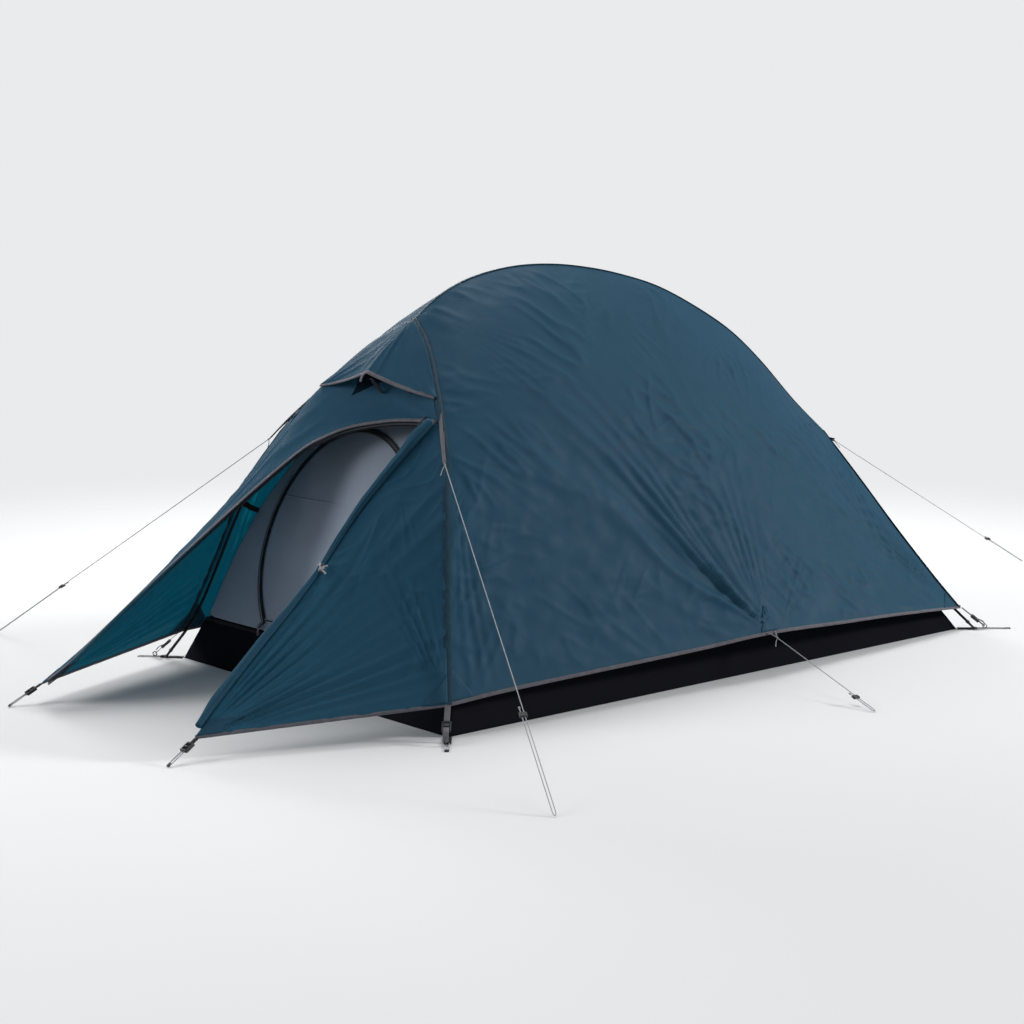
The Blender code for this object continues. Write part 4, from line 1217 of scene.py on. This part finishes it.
innerSide = {
    "columns": 120,
    "rows": 70,
    "flat": (2.00, 1.10),
    "cutShare": 0.80,
    "slack": 0.006,
    "folds": 16,
    "fold": 0.0026,
    "clips": (0.10, 0.30, 0.50, 0.70, 0.90),      # where the pole clips lift the cloth
    "pull": 0.0018,
    "inset": 0.002,
}
innerRear = {"columns": 60, "rows": 40, "flat": (1.10, 0.40), "area": 0.212, "slack": 0.003}
innerFront = {"rings": 26, "flat": (1.15, 0.86), "area": 0.335}


def innerSideBase(sign):
    corners = (innerArch[0], innerRearLine[0], innerArch[-1], innerRearLine[-1])

    def surface(u, v):
        low, high = along(innerFoot, u), along(innerRidge, u)
        front, rear = along(innerArch, v), along(innerRearLine, v)
        flat = (corners[0].lerp(corners[1], u)).lerp(corners[2].lerp(corners[3], u), v)
        return sided(low.lerp(high, v) + front.lerp(rear, u) - flat, sign)

    return surface


def innerSideSurface(sign):
    base = innerSideBase(sign)
    def surface(u, v):
        p = base(u, v)
        lift = innerSide["slack"] * sin(pi * v) * ripples(p, 0.24, 3.0 + sign)
        wander = 2 * noise.noise(Vector((u * 6, v * 3, sign)))
        lift += innerSide["fold"] * crest(sin(u * 2 * pi * innerSide["folds"] + wander)) * v * (1 - v)
        near = sum(exp(-((u - share) / 0.03) ** 2) for share in innerSide["clips"])
        lift += near * innerSide["pull"] * v ** 3
        normal = normalAt(base, min(max(u, 0.01), 0.99), min(max(v, 0.02), 0.97))
        return p + normal * (lift - innerSide["inset"]) * edgeCalm(u, v)

    return surface


def doorOutline(shrink, count=96):      # the D-shaped door in x and z: an arc, a sill and a hinge side
    radius = innerDoor["radius"] - shrink
    hinge = innerDoor["hingeX"] - shrink
    sill = innerDoor["sill"] + shrink
    middle = innerDoor["middle"]
    start = acos((hinge - middle[0]) / radius)
    end = pi + asin((middle[1] - sill) / radius)
    points = []
    for i in range(count + 1):
        angle = start + (end - start) * i / count
        points.append((middle[0] + radius * cos(angle), middle[1] + radius * sin(angle)))
    return points, (hinge, sill)


def innerWallWave(x, z):      # slack in the wall's cloth, pulled flat towards its edge
    p = Vector((x, 0, z))
    return 0.0030 * ripples(p, 0.20, 4.0) + 0.0010 * ripples(p, 0.07, 9.0)


def makeInnerFront(cloth):
    # the wall between the door's outline and the arch: rings from the door's edge out to the wall's edge
    arc, corner = doorOutline(0.0)
    outline = arc + [(arc[-1][0] + (corner[0] - arc[-1][0]) * i / 24, corner[1]) for i in range(1, 25)]
    outline += [(corner[0], corner[1] + (arc[0][1] - corner[1]) * i / 24) for i in range(1, 24)]
    edge = [(p.x, p.z) for p in innerArch] + [(-p.x, p.z) for p in reversed(innerArch[:-1])]
    edge += [(-innerArch[0].x + 2 * innerArch[0].x * i / 30, innerArch[0].z) for i in range(1, 30)]
    middle = innerDoor["middle"]

    def rayTo(angle):
        way = (cos(angle), sin(angle))
        best = None
        for (ax, az), (bx, bz) in zip(edge, edge[1:] + edge[:1]):
            ex, ez = bx - ax, bz - az
            cross = way[0] * ez - way[1] * ex
            if abs(cross) < 1e-9:
                continue
            t = ((ax - middle[0]) * ez - (az - middle[1]) * ex) / cross
            s = ((ax - middle[0]) * way[1] - (az - middle[1]) * way[0]) / cross
            if t > 0 and -1e-6 <= s <= 1 + 1e-6:
                best = t if best is None else min(best, t)
        return best

    inner = [Vector((x, 0, z)) for x, z in outline]
    rings = innerFront["rings"]
    bm = startBmesh()
    uvLayer = bm.loops.layers.uv.verify()
    columns = len(inner)
    made = bmesh.ops.create_grid(bm, x_segments=columns, y_segments=rings, size=0.5)["verts"]
    for vertex in made:
        i = round((vertex.co.x + 0.5) * columns) % columns
        share = vertex.co.y + 0.5
        x, z = inner[i].x, inner[i].z
        angle = atan2(z - middle[1], x - middle[0])
        far = rayTo(angle)
        farX, farZ = middle[0] + far * cos(angle), middle[1] + far * sin(angle)
        px, pz = x + (farX - x) * share, z + (farZ - z) * share
        vertex.co = wallPoint(px, pz, innerWallWave(px, pz) * sin(pi * share))
    bmesh.ops.remove_doubles(bm, verts=made, dist=1e-6)
    for face in bm.faces:
        for loop in face.loops:
            loop[uvLayer].uv = (loop.vert.co.x, loop.vert.co.z)
    wall = finishMesh("innerFrontCloth", bm, cloth, "tent")
    thicken(wall, tent["cloth"])
    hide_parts("inner_front")


def makeInnerDoor(cloth, tape):
    # the door's cloth: rings from its middle out to the D outline, with a level seam across it
    arc, corner = doorOutline(innerDoor["gap"])
    outline = arc + [(arc[-1][0] + (corner[0] - arc[-1][0]) * i / 24, corner[1]) for i in range(1, 25)]
    outline += [(corner[0], corner[1] + (arc[0][1] - corner[1]) * i / 24) for i in range(1, 24)]
    middle = innerDoor["middle"]
    rings, columns = innerDoor["rings"], len(outline)
    bm = startBmesh()
    uvLayer = bm.loops.layers.uv.verify()
    made = bmesh.ops.create_grid(bm, x_segments=columns, y_segments=rings, size=0.5)["verts"]
    for vertex in made:
        i = round((vertex.co.x + 0.5) * columns) % columns
        share = vertex.co.y + 0.5
        x = middle[0] + (outline[i][0] - middle[0]) * share
        z = middle[1] + (outline[i][1] - middle[1]) * share
        calm = 1 - share ** 4
        vertex.co = wallPoint(x, z, 0.0035 + innerWallWave(x + 3, z) * 1.8 * calm)
    bmesh.ops.remove_doubles(bm, verts=made, dist=1e-6)
    for face in bm.faces:
        for loop in face.loops:
            loop[uvLayer].uv = (loop.vert.co.x, loop.vert.co.z)
    door = finishMesh("innerDoorCloth", bm, cloth, "inner_door_panel")
    thicken(door, tent["cloth"])
    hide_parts("inner_door")
    level = innerDoor["seamHeight"]
    half = (innerDoor["radius"] ** 2 - (level - middle[1]) ** 2) ** 0.5 - 0.012
    right = min(half, innerDoor["hingeX"] - middle[0] - 0.012)
    line = [wallPoint(middle[0] - half + (half + right) * i / 24, level, 0.0055) for i in range(25)]
    addTape("innerDoorSeam", line, Vector((0, -1, wallSlope)), (0.007, 0.0010), cloth, "inner_door_panel")
    inset = [wallPoint(x, z, 0.0070) for x, z in doorOutline(0.0058)[0]]
    addTape("innerDoorZipTape", inset, Vector((0, -1, wallSlope)), innerDoor["zipTape"], tape,
            "inner_door_panel")


def makeInnerZip(tape, plastic, grey):
    up = Vector((0, -1, wallSlope))
    line = [wallPoint(x, z, 0.0040) for x, z in doorOutline(-0.0045)[0]]
    addTape("innerWallZipTape", line, up, innerDoor["zipTape"], tape)
    bm = startBmesh()
    addTeeth(bm, [wallPoint(x, z, 0.0062) for x, z in doorOutline(0.0)[0]], up, *innerDoor["teeth"])
    finishMesh("innerZipTeeth", bm, plastic, "tent")
    outer = doorOutline(-0.012)[0]
    low = [wallPoint(x, z, 0.0052) for x, z in outer[58:]]
    addTape("innerZipPiping", low, up, (0.0045, 0.0030), grey)
    angle = radians(innerDoor["sliderAngle"])
    reach = innerDoor["radius"] - 0.001
    middle = innerDoor["middle"]
    spot = wallPoint(middle[0] + reach * cos(angle), middle[1] + reach * sin(angle), 0.018)
    tip = spot + Vector((-0.012, -0.008, -0.036))
    bm = startBmesh()
    pull = smoothLine([spot, spot + Vector((-0.010, -0.006, -0.012)), tip], 9)
    sweep(bm, pull, tapeProfile(0.0085, 0.0016), Vector((0, -1, 0.3)))
    stopKnot(bm, tip, Vector((0, 0, -1)), 0.0016)
    finishMesh("innerZipPull", bm, grey, "inner_slider", 50)


def tubWall(side, u, v):
    # one wall of the tub, u along it and v up it: 0 right, 1 rear, 2 left, 3 front
    half, length = tent["halfFloor"], tent["floorLength"]
    low = [at(half, 0, 0), at(half, length, 0), at(-half, length, 0), at(-half, 0, 0)]
    high = [tubTopFront, tubTopRear, sided(tubTopRear, -1), sided(tubTopFront, -1)]
    a, b = low[side], low[(side + 1) % 4]
    c, d = high[side], high[(side + 1) % 4]
    return a.lerp(b, u).lerp(c.lerp(d, u), v)


tubFacts = {
    "wallHeight": 0.14,          # the cut height of a wall
    "thick": 0.0008,
    "columns": (150, 90),        # along a long wall, along a short one
    "rows": 16,
    "topSeam": (0.010, 0.0016),
    "billow": 0.0050,
    "ripple": 0.0022,
    "cornerFold": 0.0050,
    "ground": (1.25, 2.10),
    "groundLift": 0.0004,
    "groundRise": (0.0012, 0.0024),
}


def tubSide(side):
    def surface(u, v):
        return tubWall(side, u, v)

    return surface


def tubSurface(side):
    base = tubSide(side)

    def surface(u, v):
        p = base(u, v)
        near = min(u, 1 - u)
        billow = tubFacts["billow"] * sin(pi * v) * ripples(p, 0.30, 2.0 + side)
        billow += tubFacts["ripple"] * ripples(p, 0.07, 6.0 + side)
        corner = tubFacts["cornerFold"] * crest(sin(near * 95 + v * 5)) * exp(-near / 0.07)
        lift = (billow + corner) * edgeCalm(u, v, 0.02, 0.10)
        return p + normalAt(base, min(max(u, 0.01), 0.99), 0.5) * lift

    return surface


def makeTub(cloth, tape):
    for side, name in enumerate(("right", "rear", "left", "front")):
        length = (tubWall(side, 1, 0) - tubWall(side, 0, 0)).length
        flat = (length, tubFacts["wallHeight"])
        wall = clothPiece("tubWall_" + name, tubSurface(side), tubFacts["columns"][side % 2],
                          tubFacts["rows"], flat, cloth, "tent", tubFacts["thick"])
        line = [tubWall(side, i / 60, 1.0) for i in range(61)]
        addTape("tubTopSeam_" + name, line, normalAt(tubSide(side), 0.5, 0.5), tubFacts["topSeam"], tape)

    def ground(u, v):
        x, y = (2 * u - 1) * tent["halfFloor"], v * tent["floorLength"]
        least, most = tubFacts["groundRise"]
        rise = least + most * max(0, ripples(Vector((x, y, 0)), 0.16, 3.0))
        return at(x, y, tubFacts["groundLift"] + rise * edgeCalm(u, v, 0.02, 0.02))

    floor = clothPiece("tubGround", ground, 90, 150, tubFacts["ground"], cloth, "tent",
                       tubFacts["thick"])
    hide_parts("tub_floor")
    print("tub made")


def makeInner(cloth, tubCloth, tape, plastic, grey):
    for sign, mark in ((1, "right"), (-1, "left")):
        piece = clothPiece("innerSideCloth_" + mark, innerSideSurface(sign), innerSide["columns"],
                           innerSide["rows"], innerSide["flat"], cloth, "tent")
        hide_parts("inner_side_" + mark)

    def rearWall(u, v):
        edge = along(innerRearLine, v)
        p = Vector(((2 * u - 1) * edge.x, edge.y + 0.002, edge.z))
        return p + Vector((0, 1, 0.3)) * innerRear["slack"] * ripples(p, 0.15, 5.0) * edgeCalm(u, v)

    piece = clothPiece("innerRearCloth", rearWall, innerRear["columns"], innerRear["rows"],
                       innerRear["flat"], cloth, "tent")
    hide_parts("inner_rear")
    makeInnerFront(cloth)
    makeInnerDoor(cloth, tape)
    makeInnerZip(tape, plastic, grey)
    makeTub(tubCloth, tape)
    print("inner tent made")


# Pole clips, ferrules and hub details

poleFacts = {
    "legInset": (0.012, -0.004, 0.013),
    "spineDrop": 0.020,
    "clipWidth": 0.016,
    "legClips": (0.44, 0.62, 0.80),
    "spineClips": (0.10, 0.28, 0.46, 0.64, 0.82),
}


def legLine():
    inset = Vector(poleFacts["legInset"])
    path = [p - inset for p in frontSeam[:113]]
    foot = at(0.6500, -0.0280, 0.0260)
    keys = (0, 6, 22, 38, 54, 70, 86, 98, 106)
    return smoothLine([foot] + [path[k] for k in keys[1:]], 61)


def addClip(bm, pole, way, target):
    # a C-shaped hook on the pole, its shank, and the strap down to the inner's cloth
    pull = (target - pole).normalized()
    hook = frameAt(pole, way, pull)
    addRing(bm, tent["poleRadius"] + 0.0022, 0.0016, hook, 20, 8)
    addRing(bm, tent["poleRadius"] + 0.0022, 0.0016, hook @ Matrix.Translation((0, 0, 0.006)), 20, 8)
    addBlock(bm, (0.012, 0.008, 0.016), frameAt(pole + pull * 0.014, way, pull), 0.0012)
    line = smoothLine([pole + pull * 0.016, pole.lerp(target, 0.55) + Vector((0, 0, -0.002)), target], 11)
    sweep(bm, line, tapeProfile(poleFacts["clipWidth"], 0.0016), way.cross(pull))


def makeClips(webbing):
    leg = legLine()
    for sign, mark in ((1, "right"), (-1, "left")):
        bm = startBmesh()
        for share in poleFacts["legClips"]:
            pole = sided(along(leg, share), sign)
            way = (sided(along(leg, share + 0.02), sign) - sided(along(leg, share - 0.02), sign)).normalized()
            target = min((sided(p, sign) for p in innerArch), key=lambda p: (p - pole).length)
            addClip(bm, pole, way, target)
        finishMesh("legClips_" + mark, bm, webbing, "tent", 50)
    bm = startBmesh()
    for share in poleFacts["spineClips"]:
        pole = along(ridge, share) - Vector((0, 0, poleFacts["spineDrop"]))
        way = (along(ridge, share + 0.01) - along(ridge, share - 0.01)).normalized()
        target = min(innerRidge, key=lambda p: (p - pole).length)
        addClip(bm, pole, way, target)
    finishMesh("spineClips", bm, webbing, "tent", 50)
    print("clips made")


hubFacts = {
    "rivets": (
        {"place": frontHubTop + Vector((0, 0.002, -0.024)), "way": Vector((0, -0.5, 0.8)).normalized()},
        {"place": rearHubTop + Vector((0, -0.016, -0.022)), "way": Vector((0, 0.5, 0.8)).normalized()},
    ),
    "rivetRadius": 0.0042,
    "rivetLength": 0.022,
    "ferrule": (0.485, 0.515),      # where it lies on the leg, as shares of its length
}


def makeHubDetails(metal):
    across = Vector((1, 0, 0))
    radius, length = hubFacts["rivetRadius"], hubFacts["rivetLength"]
    bm = startBmesh()
    for rivet in hubFacts["rivets"]:
        place, way = rivet["place"], rivet["way"]
        addRod(bm, radius, length, frameAt(place - way * length / 2, way, across), 18)
        addRing(bm, radius + 0.0004, 0.0010, frameAt(place + way * (length / 2 - 0.0005), way, across), 20, 6)
    finishMesh("hubRivets", bm, metal, "tent", 40)
    leg = legLine()
    first, last = hubFacts["ferrule"]
    bm = startBmesh()
    for sign in (1, -1):
        line = [sided(along(leg, first + (last - first) * i / 6), sign) for i in range(7)]
        sweep(bm, line, roundProfile(tent["poleRadius"] + 0.0006, 16), Vector((0, 1, 0.2)))
        for share in hubFacts["ferrule"]:
            spot = sided(along(leg, share), sign)
            way = sided(along(leg, share + 0.01), sign) - sided(along(leg, share - 0.01), sign)
            addRing(bm, tent["poleRadius"] + 0.0004, 0.0006, frameAt(spot, way, Vector((0, 1, 0))), 20, 6)
    finishMesh("poleFerrules", bm, metal, "tent", 40)


# Corners: webbing, peg loops, guy points

cornerFacts = {
    "front": {"y": 0.0, "tip": (0.6605, -0.0365), "end": (0.7370, -0.0960), "rise": frontHem,
              "foot": (0.690, -0.062, 0.0105)},
    "rear": {"y": 2.10, "tip": (0.6560, 2.1305), "end": (0.7370, 2.2370), "rise": rearHem,
             "foot": (0.690, 2.162, 0.0105)},
    "webWidth": 0.015,
    "webThick": 0.0016,
    "loopRadius": 0.0015,
}


def addLoop(bm, start, end, spread, radius):
    # a cord loop: out along one side, round the end and back
    way = (end - start).normalized()
    side = way.cross(Vector((0, 0, 1))).normalized()
    bend = end - way * spread
    points = [start + side * spread * 0.8, start.lerp(bend, 0.5) + side * spread, bend + side * spread,
              end - way * spread * 0.3 + side * spread * 0.7, end.copy(),
              end - way * spread * 0.3 - side * spread * 0.7, bend - side * spread,
              start.lerp(bend, 0.5) - side * spread, start - side * spread * 0.8]
    sweep(bm, smoothLine(points, 49), roundProfile(radius, 8), Vector((0, 0, 1)))


def makeCorner(end, sign, mark, grey, dark, cordMaterial, plastic, metal):
    facts = cornerFacts[end]
    name = end + "_" + mark
    outward = 1 if end == "rear" else -1
    corner = at(sign * tent["halfFloor"], facts["y"], 0)
    tip = at(sign * facts["tip"][0], facts["tip"][1], 0)
    loopEnd = at(sign * facts["end"][0], facts["end"][1], 0)
    way = (loopEnd - corner).normalized()
    lift = Vector((0, 0, 0.0017))
    start, stop = corner + way * 0.004 + lift, tip + way * 0.022 + lift
    stop = start + way * (stop - start).dot(way)
    bm = startBmesh()
    sweep(bm, [start.lerp(stop, i / 12) for i in range(13)], tapeProfile(0.020, 0.0024), Vector((0, 0, 1)))
    fold = stop - way * 0.012
    sweep(bm, [fold.lerp(stop, i / 6) + Vector((0, 0, 0.0022)) for i in range(7)],
          tapeProfile(0.018, 0.0018), Vector((0, 0, 1)))
    tab = finishMesh("cornerWebbing_" + name, bm, dark, "tent", 50)
    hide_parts("corner_tab_" + name)
    bm = startBmesh()
    ring = Matrix.Translation(tip + Vector((0, 0, 0.0030)))
    addRing(bm, 0.0076, 0.0011, ring, 28, 8)
    finishMesh("grommet_" + name, bm, metal, "tent", 60)
    bm = startBmesh()
    inner = stop - way * 0.006 + Vector((0, 0, 0.0006))
    tipEnd = loopEnd - way * 0.006 + Vector((0, 0, 0.0010))
    addLoop(bm, inner, tipEnd, 0.0055, cornerFacts["loopRadius"])
    finishMesh("pegLoop_" + name, bm, cordMaterial, "tent", 60)
    bm = startBmesh()
    sleeve = [tipEnd - way * 0.012 + way * 0.015 * i / 6 for i in range(7)]
    sweep(bm, sleeve, tapeProfile(0.0125, 0.0042), Vector((0, 0, 1)), [0.8, 0.95, 1, 1, 1, 0.95, 0.8])
    finishMesh("pegLoopSleeve_" + name, bm, plastic, "tent", 50)
    # the fly's strap down through the buckle, its folded tail
    rise = facts["rise"]
    top = Vector((rise.x * sign, rise.y, rise.z)) + Vector((0.008 * sign, 0.008 * outward, -0.006))
    foot = at(sign * facts["foot"][0], facts["foot"][1], facts["foot"][2])
    run = foot - top
    bm = startBmesh()
    thick = cornerFacts["webThick"]
    flatUp = frameAt(top, run, Vector((-run.y, run.x, 0))).to_3x3() @ Vector((0, 1, 0))
    first = top - run.normalized() * 0.006 + flatUp * 0.001
    sweep(bm, [first.lerp(foot, i / 20) for i in range(21)],
          tapeProfile(cornerFacts["webWidth"], thick), flatUp)
    outwardUp = flatUp if flatUp.dot(Vector((sign, outward, 0))) > 0 else -flatUp
    middle = top.lerp(foot, 0.55)
    tail = smoothLine([middle + run.normalized() * 0.004 + outwardUp * 0.0022,
                       middle + run.normalized() * 0.022 + outwardUp * 0.008,
                       middle + run.normalized() * 0.034 + outwardUp * 0.006], 11)
    sweep(bm, tail, tapeProfile(cornerFacts["webWidth"], thick), flatUp)
    strap = finishMesh("flyStrap_" + name, bm, grey, "tent", 50)
    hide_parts("fly_strap_" + name)
    bm = startBmesh()
    place = frameAt(foot + Vector((0, 0, 0.0005)), run.cross(Vector((0, 0, 1))), Vector((0, 0, 1)))
    addRing(bm, 0.0062, 0.0014, place, 24, 8)
    finishMesh("strapRing_" + name, bm, plastic, "tent", 60)
    makeLadderLock("ladderLock_" + name, "buckle_" + name, top, foot, 0.55, plastic, "buckle_%s_body" % name)


lockFacts = {
    "rail": (0.0036, 0.0080, 0.030),
    "railSide": 0.0100,
    "bar": (0.019, 0.0024, 0.0042),
    "frontBar": (0.019, 0.0024, 0.0030),
    "barShift": 0.0125,      # from the middle bar to the outer ones
    "barDepth": 0.0029,
    "rib": (0.0165, 0.0010, 0.0008),
    "ribs": 4,
    "ribPitch": 0.0016,
}


def makeLadderLock(name, node, top, foot, share, plastic, body):
    # side rails, three rounded bars and the ribbed lip of a ladder-lock buckle
    run = foot - top
    place = frameAt(top.lerp(foot, share), run, Vector((-run.y, run.x, 0)))
    shift, depth = lockFacts["barShift"], lockFacts["barDepth"]
    bm = startBmesh()
    for side in (-lockFacts["railSide"], lockFacts["railSide"]):
        addBlock(bm, lockFacts["rail"], place @ Matrix.Translation((side, 0, 0)), 0.0012, 3)
    for rise in (-shift, 0.0, shift):
        addBlock(bm, lockFacts["bar"], place @ Matrix.Translation((0, -depth, rise)), 0.0008, 2)
        addBlock(bm, lockFacts["frontBar"], place @ Matrix.Translation((0, depth, rise)), 0.0008, 2)
    for n in range(lockFacts["ribs"]):
        rise = -shift - 0.0024 + n * lockFacts["ribPitch"]
        addBlock(bm, lockFacts["rib"], place @ Matrix.Translation((0, 0.0040, rise)), 0.0003, 1)
    lock = finishMesh(name, bm, plastic, body, 40)
    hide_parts(node)


def makeVestibuleCorner(sign, mark, dark, cordMaterial, plastic):
    body = "wing" if sign > 0 else "tent"
    top = at(sign * 0.392, -0.612, 0.046)
    foot = at(sign * 0.404, -0.6900, 0.0030)
    run = foot - top
    flatUp = frameAt(top, run, Vector((-run.y, run.x, 0))).to_3x3() @ Vector((0, 1, 0))
    first = top - run * 0.16
    bend = top.lerp(foot, 0.42)
    bm = startBmesh()
    sweep(bm, [first.lerp(bend, i / 10) for i in range(11)], tapeProfile(cornerFacts["webWidth"], 0.0016),
          flatUp)
    strap = finishMesh("vestibuleWebbing_" + mark, bm, dark, body, 50)
    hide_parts("vestibule_strap_" + mark)
    bm = startBmesh()
    addLoop(bm, top.lerp(foot, 0.36) + Vector((0, 0, 0.0006)), foot, 0.0045, cornerFacts["loopRadius"])
    finishMesh("vestibulePegLoop_" + mark, bm, cordMaterial, body, 60)
    bm = startBmesh()
    way = run.normalized()
    sleeve = [foot - way * 0.010 + way * 0.012 * i / 5 for i in range(6)]
    sweep(bm, sleeve, tapeProfile(0.0110, 0.0040), flatUp, [0.8, 1, 1, 1, 1, 0.8])
    finishMesh("vestibuleLoopSleeve_" + mark, bm, plastic, body, 50)
    makeLadderLock("vestibuleLock_" + mark, "vestibule_buckle_" + mark, top, foot, 0.22, plastic,
                   "vestibule_buckle_%s_body" % mark)


def makeGuyPoints(grey, dark):
    for sign, mark, webbing in ((1, "right", grey), (-1, "left", dark)):
        exit_ = sided(at(*guyLines["front"]["top"]), sign)
        high = sided(along(frontSeam, 0.665), sign)
        low = sided(along(frontSeam, 0.615), sign)
        bm = startBmesh()
        up = Vector((0.4 * sign, -0.8, 0.3))
        for start in (high, low):
            middle = start.lerp(exit_, 0.5) + Vector((0.002 * sign, -0.003, 0.0))
            line = smoothLine([start, middle, exit_], 13)
            sweep(bm, line, tapeProfile(0.010, 0.0015), up)
        finishMesh("frontGuyWebbing_" + mark, bm, webbing, "tent", 50)
        bm = startBmesh()
        exit_ = sided(at(*guyLines["middle"]["top"]), sign)
        for share in (0.542, 0.560):
            start = sided(along(hem, share), sign) + Vector((0, 0, 0.002))
            line = smoothLine([start, start.lerp(exit_, 0.5) + Vector((0, 0, 0.002)), exit_], 11)
            sweep(bm, line, tapeProfile(0.006, 0.0014), Vector((0.2 * sign, 0, 1)))
        finishMesh("middleGuyWebbing_" + mark, bm, grey, "tent", 50)
    exit_ = at(*guyLines["rear"]["top"])
    bm = startBmesh()
    for across in (-1, 1):
        start = rearBase(0.5 + across * 0.10, 0.955) + Vector((0, 0.002, 0.002))
        line = smoothLine([start, start.lerp(exit_, 0.5) + Vector((0, 0.004, -0.001)), exit_], 13)
        sweep(bm, line, tapeProfile(0.020, 0.0018), Vector((across * 0.5, 0.6, 0.8)))
    finishMesh("rearGuyWebbing", bm, dark, "tent", 50)
    print("guy points made")


ventFacts = {
    # kept within the awning's shade, which the netting's dark colour paints
    "outline": ((0.305, 0.56), (0.130, 0.56), (0.150, 0.93), (0.300, 0.93)),
    "lift": 0.0014,
}


def makeVentNet(hoodShadeNet):
    # the vent's window under the awning: netting laid over the front cloth, just below the arch; its dark
    # navy is painted shade under the awning
    bm = startBmesh()
    patchOn(bm, frontSurface, ventFacts["outline"], ventFacts["lift"], 24)
    piece = finishMesh("hoodShadeVentNet", bm, hoodShadeNet, "tent")
    thicken(piece, 0.0004)
    print("vent net made")


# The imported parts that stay, and the order of work

def paintNodes(pole, plastic, cordMaterial):
    painted = {"guy_adjuster": plastic, "pole_tip": plastic, "spine_pole": pole, "front_leg": pole,
               "rear_leg": pole, "front_hub": plastic, "rear_hub": plastic, "spine_shock_cord": cordMaterial,
               "fly_zip_slider": plastic, "inner_zip_slider": plastic, "door_toggle": plastic,
               "vent_prop": plastic, "buckle": plastic}
    for name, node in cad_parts.items():
        for key, material in painted.items():
            if name.startswith(key):
                node.data.materials.clear()
                node.data.materials.append(material)
                for face in node.data.polygons:
                    face.material_index = 0


def main():
    makeCamera()
    cordMaterial = braidedCord("guyCord", finishes["guyCord"])
    makeGuyLines(cordMaterial)
    makeStudio()
    fly = wovenCloth("flyCloth", finishes["fly"])
    inner = wovenCloth("innerCloth", finishes["inner"])
    tub = wovenCloth("tubCloth", finishes["tub"])
    binding = narrowWoven("greyBinding", finishes["binding"])
    grey = narrowWoven("greyWebbing", finishes["greyWebbing"])
    dark = narrowWoven("darkWebbing", finishes["darkWebbing"])
    seam = narrowWoven("flySeam", finishes["seamTape"])
    zipTape = narrowWoven("zipTape", finishes["zipTape"])
    pole = anodisedTube("blackPole", finishes["pole"])
    plastic = mouldedPlastic("blackPlastic", finishes["plastic"])
    # the vent netting is dark navy: painted shade under the awning
    hoodShadeNet = meshNet("hoodShadeNetting", finishes["hoodShadeNet"])
    makeSides(fly)
    makeRear(fly)
    makeWings(fly)
    makeFront(fly)
    makeHood(fly, binding, grey)
    makeVentNet(hoodShadeNet)
    makeBindings(binding)
    makeSeams(seam)
    makePatches(fly)
    makeZip(binding, zipTape, plastic)
    makeRoll(fly, cordMaterial)
    makeToggle(cordMaterial)
    makeInner(inner, tub, dark, plastic, grey)
    makeClips(dark)
    makeHubDetails(pole)
    for end in ("front", "rear"):
        for sign, mark in ((1, "right"), (-1, "left")):
            makeCorner(end, sign, mark, grey, dark, cordMaterial, plastic, pole)
    for sign, mark in ((1, "right"), (-1, "left")):
        makeVestibuleCorner(sign, mark, dark, cordMaterial, plastic)
    makeGuyPoints(grey, dark)
    paintNodes(pole, plastic, cordMaterial)


main()
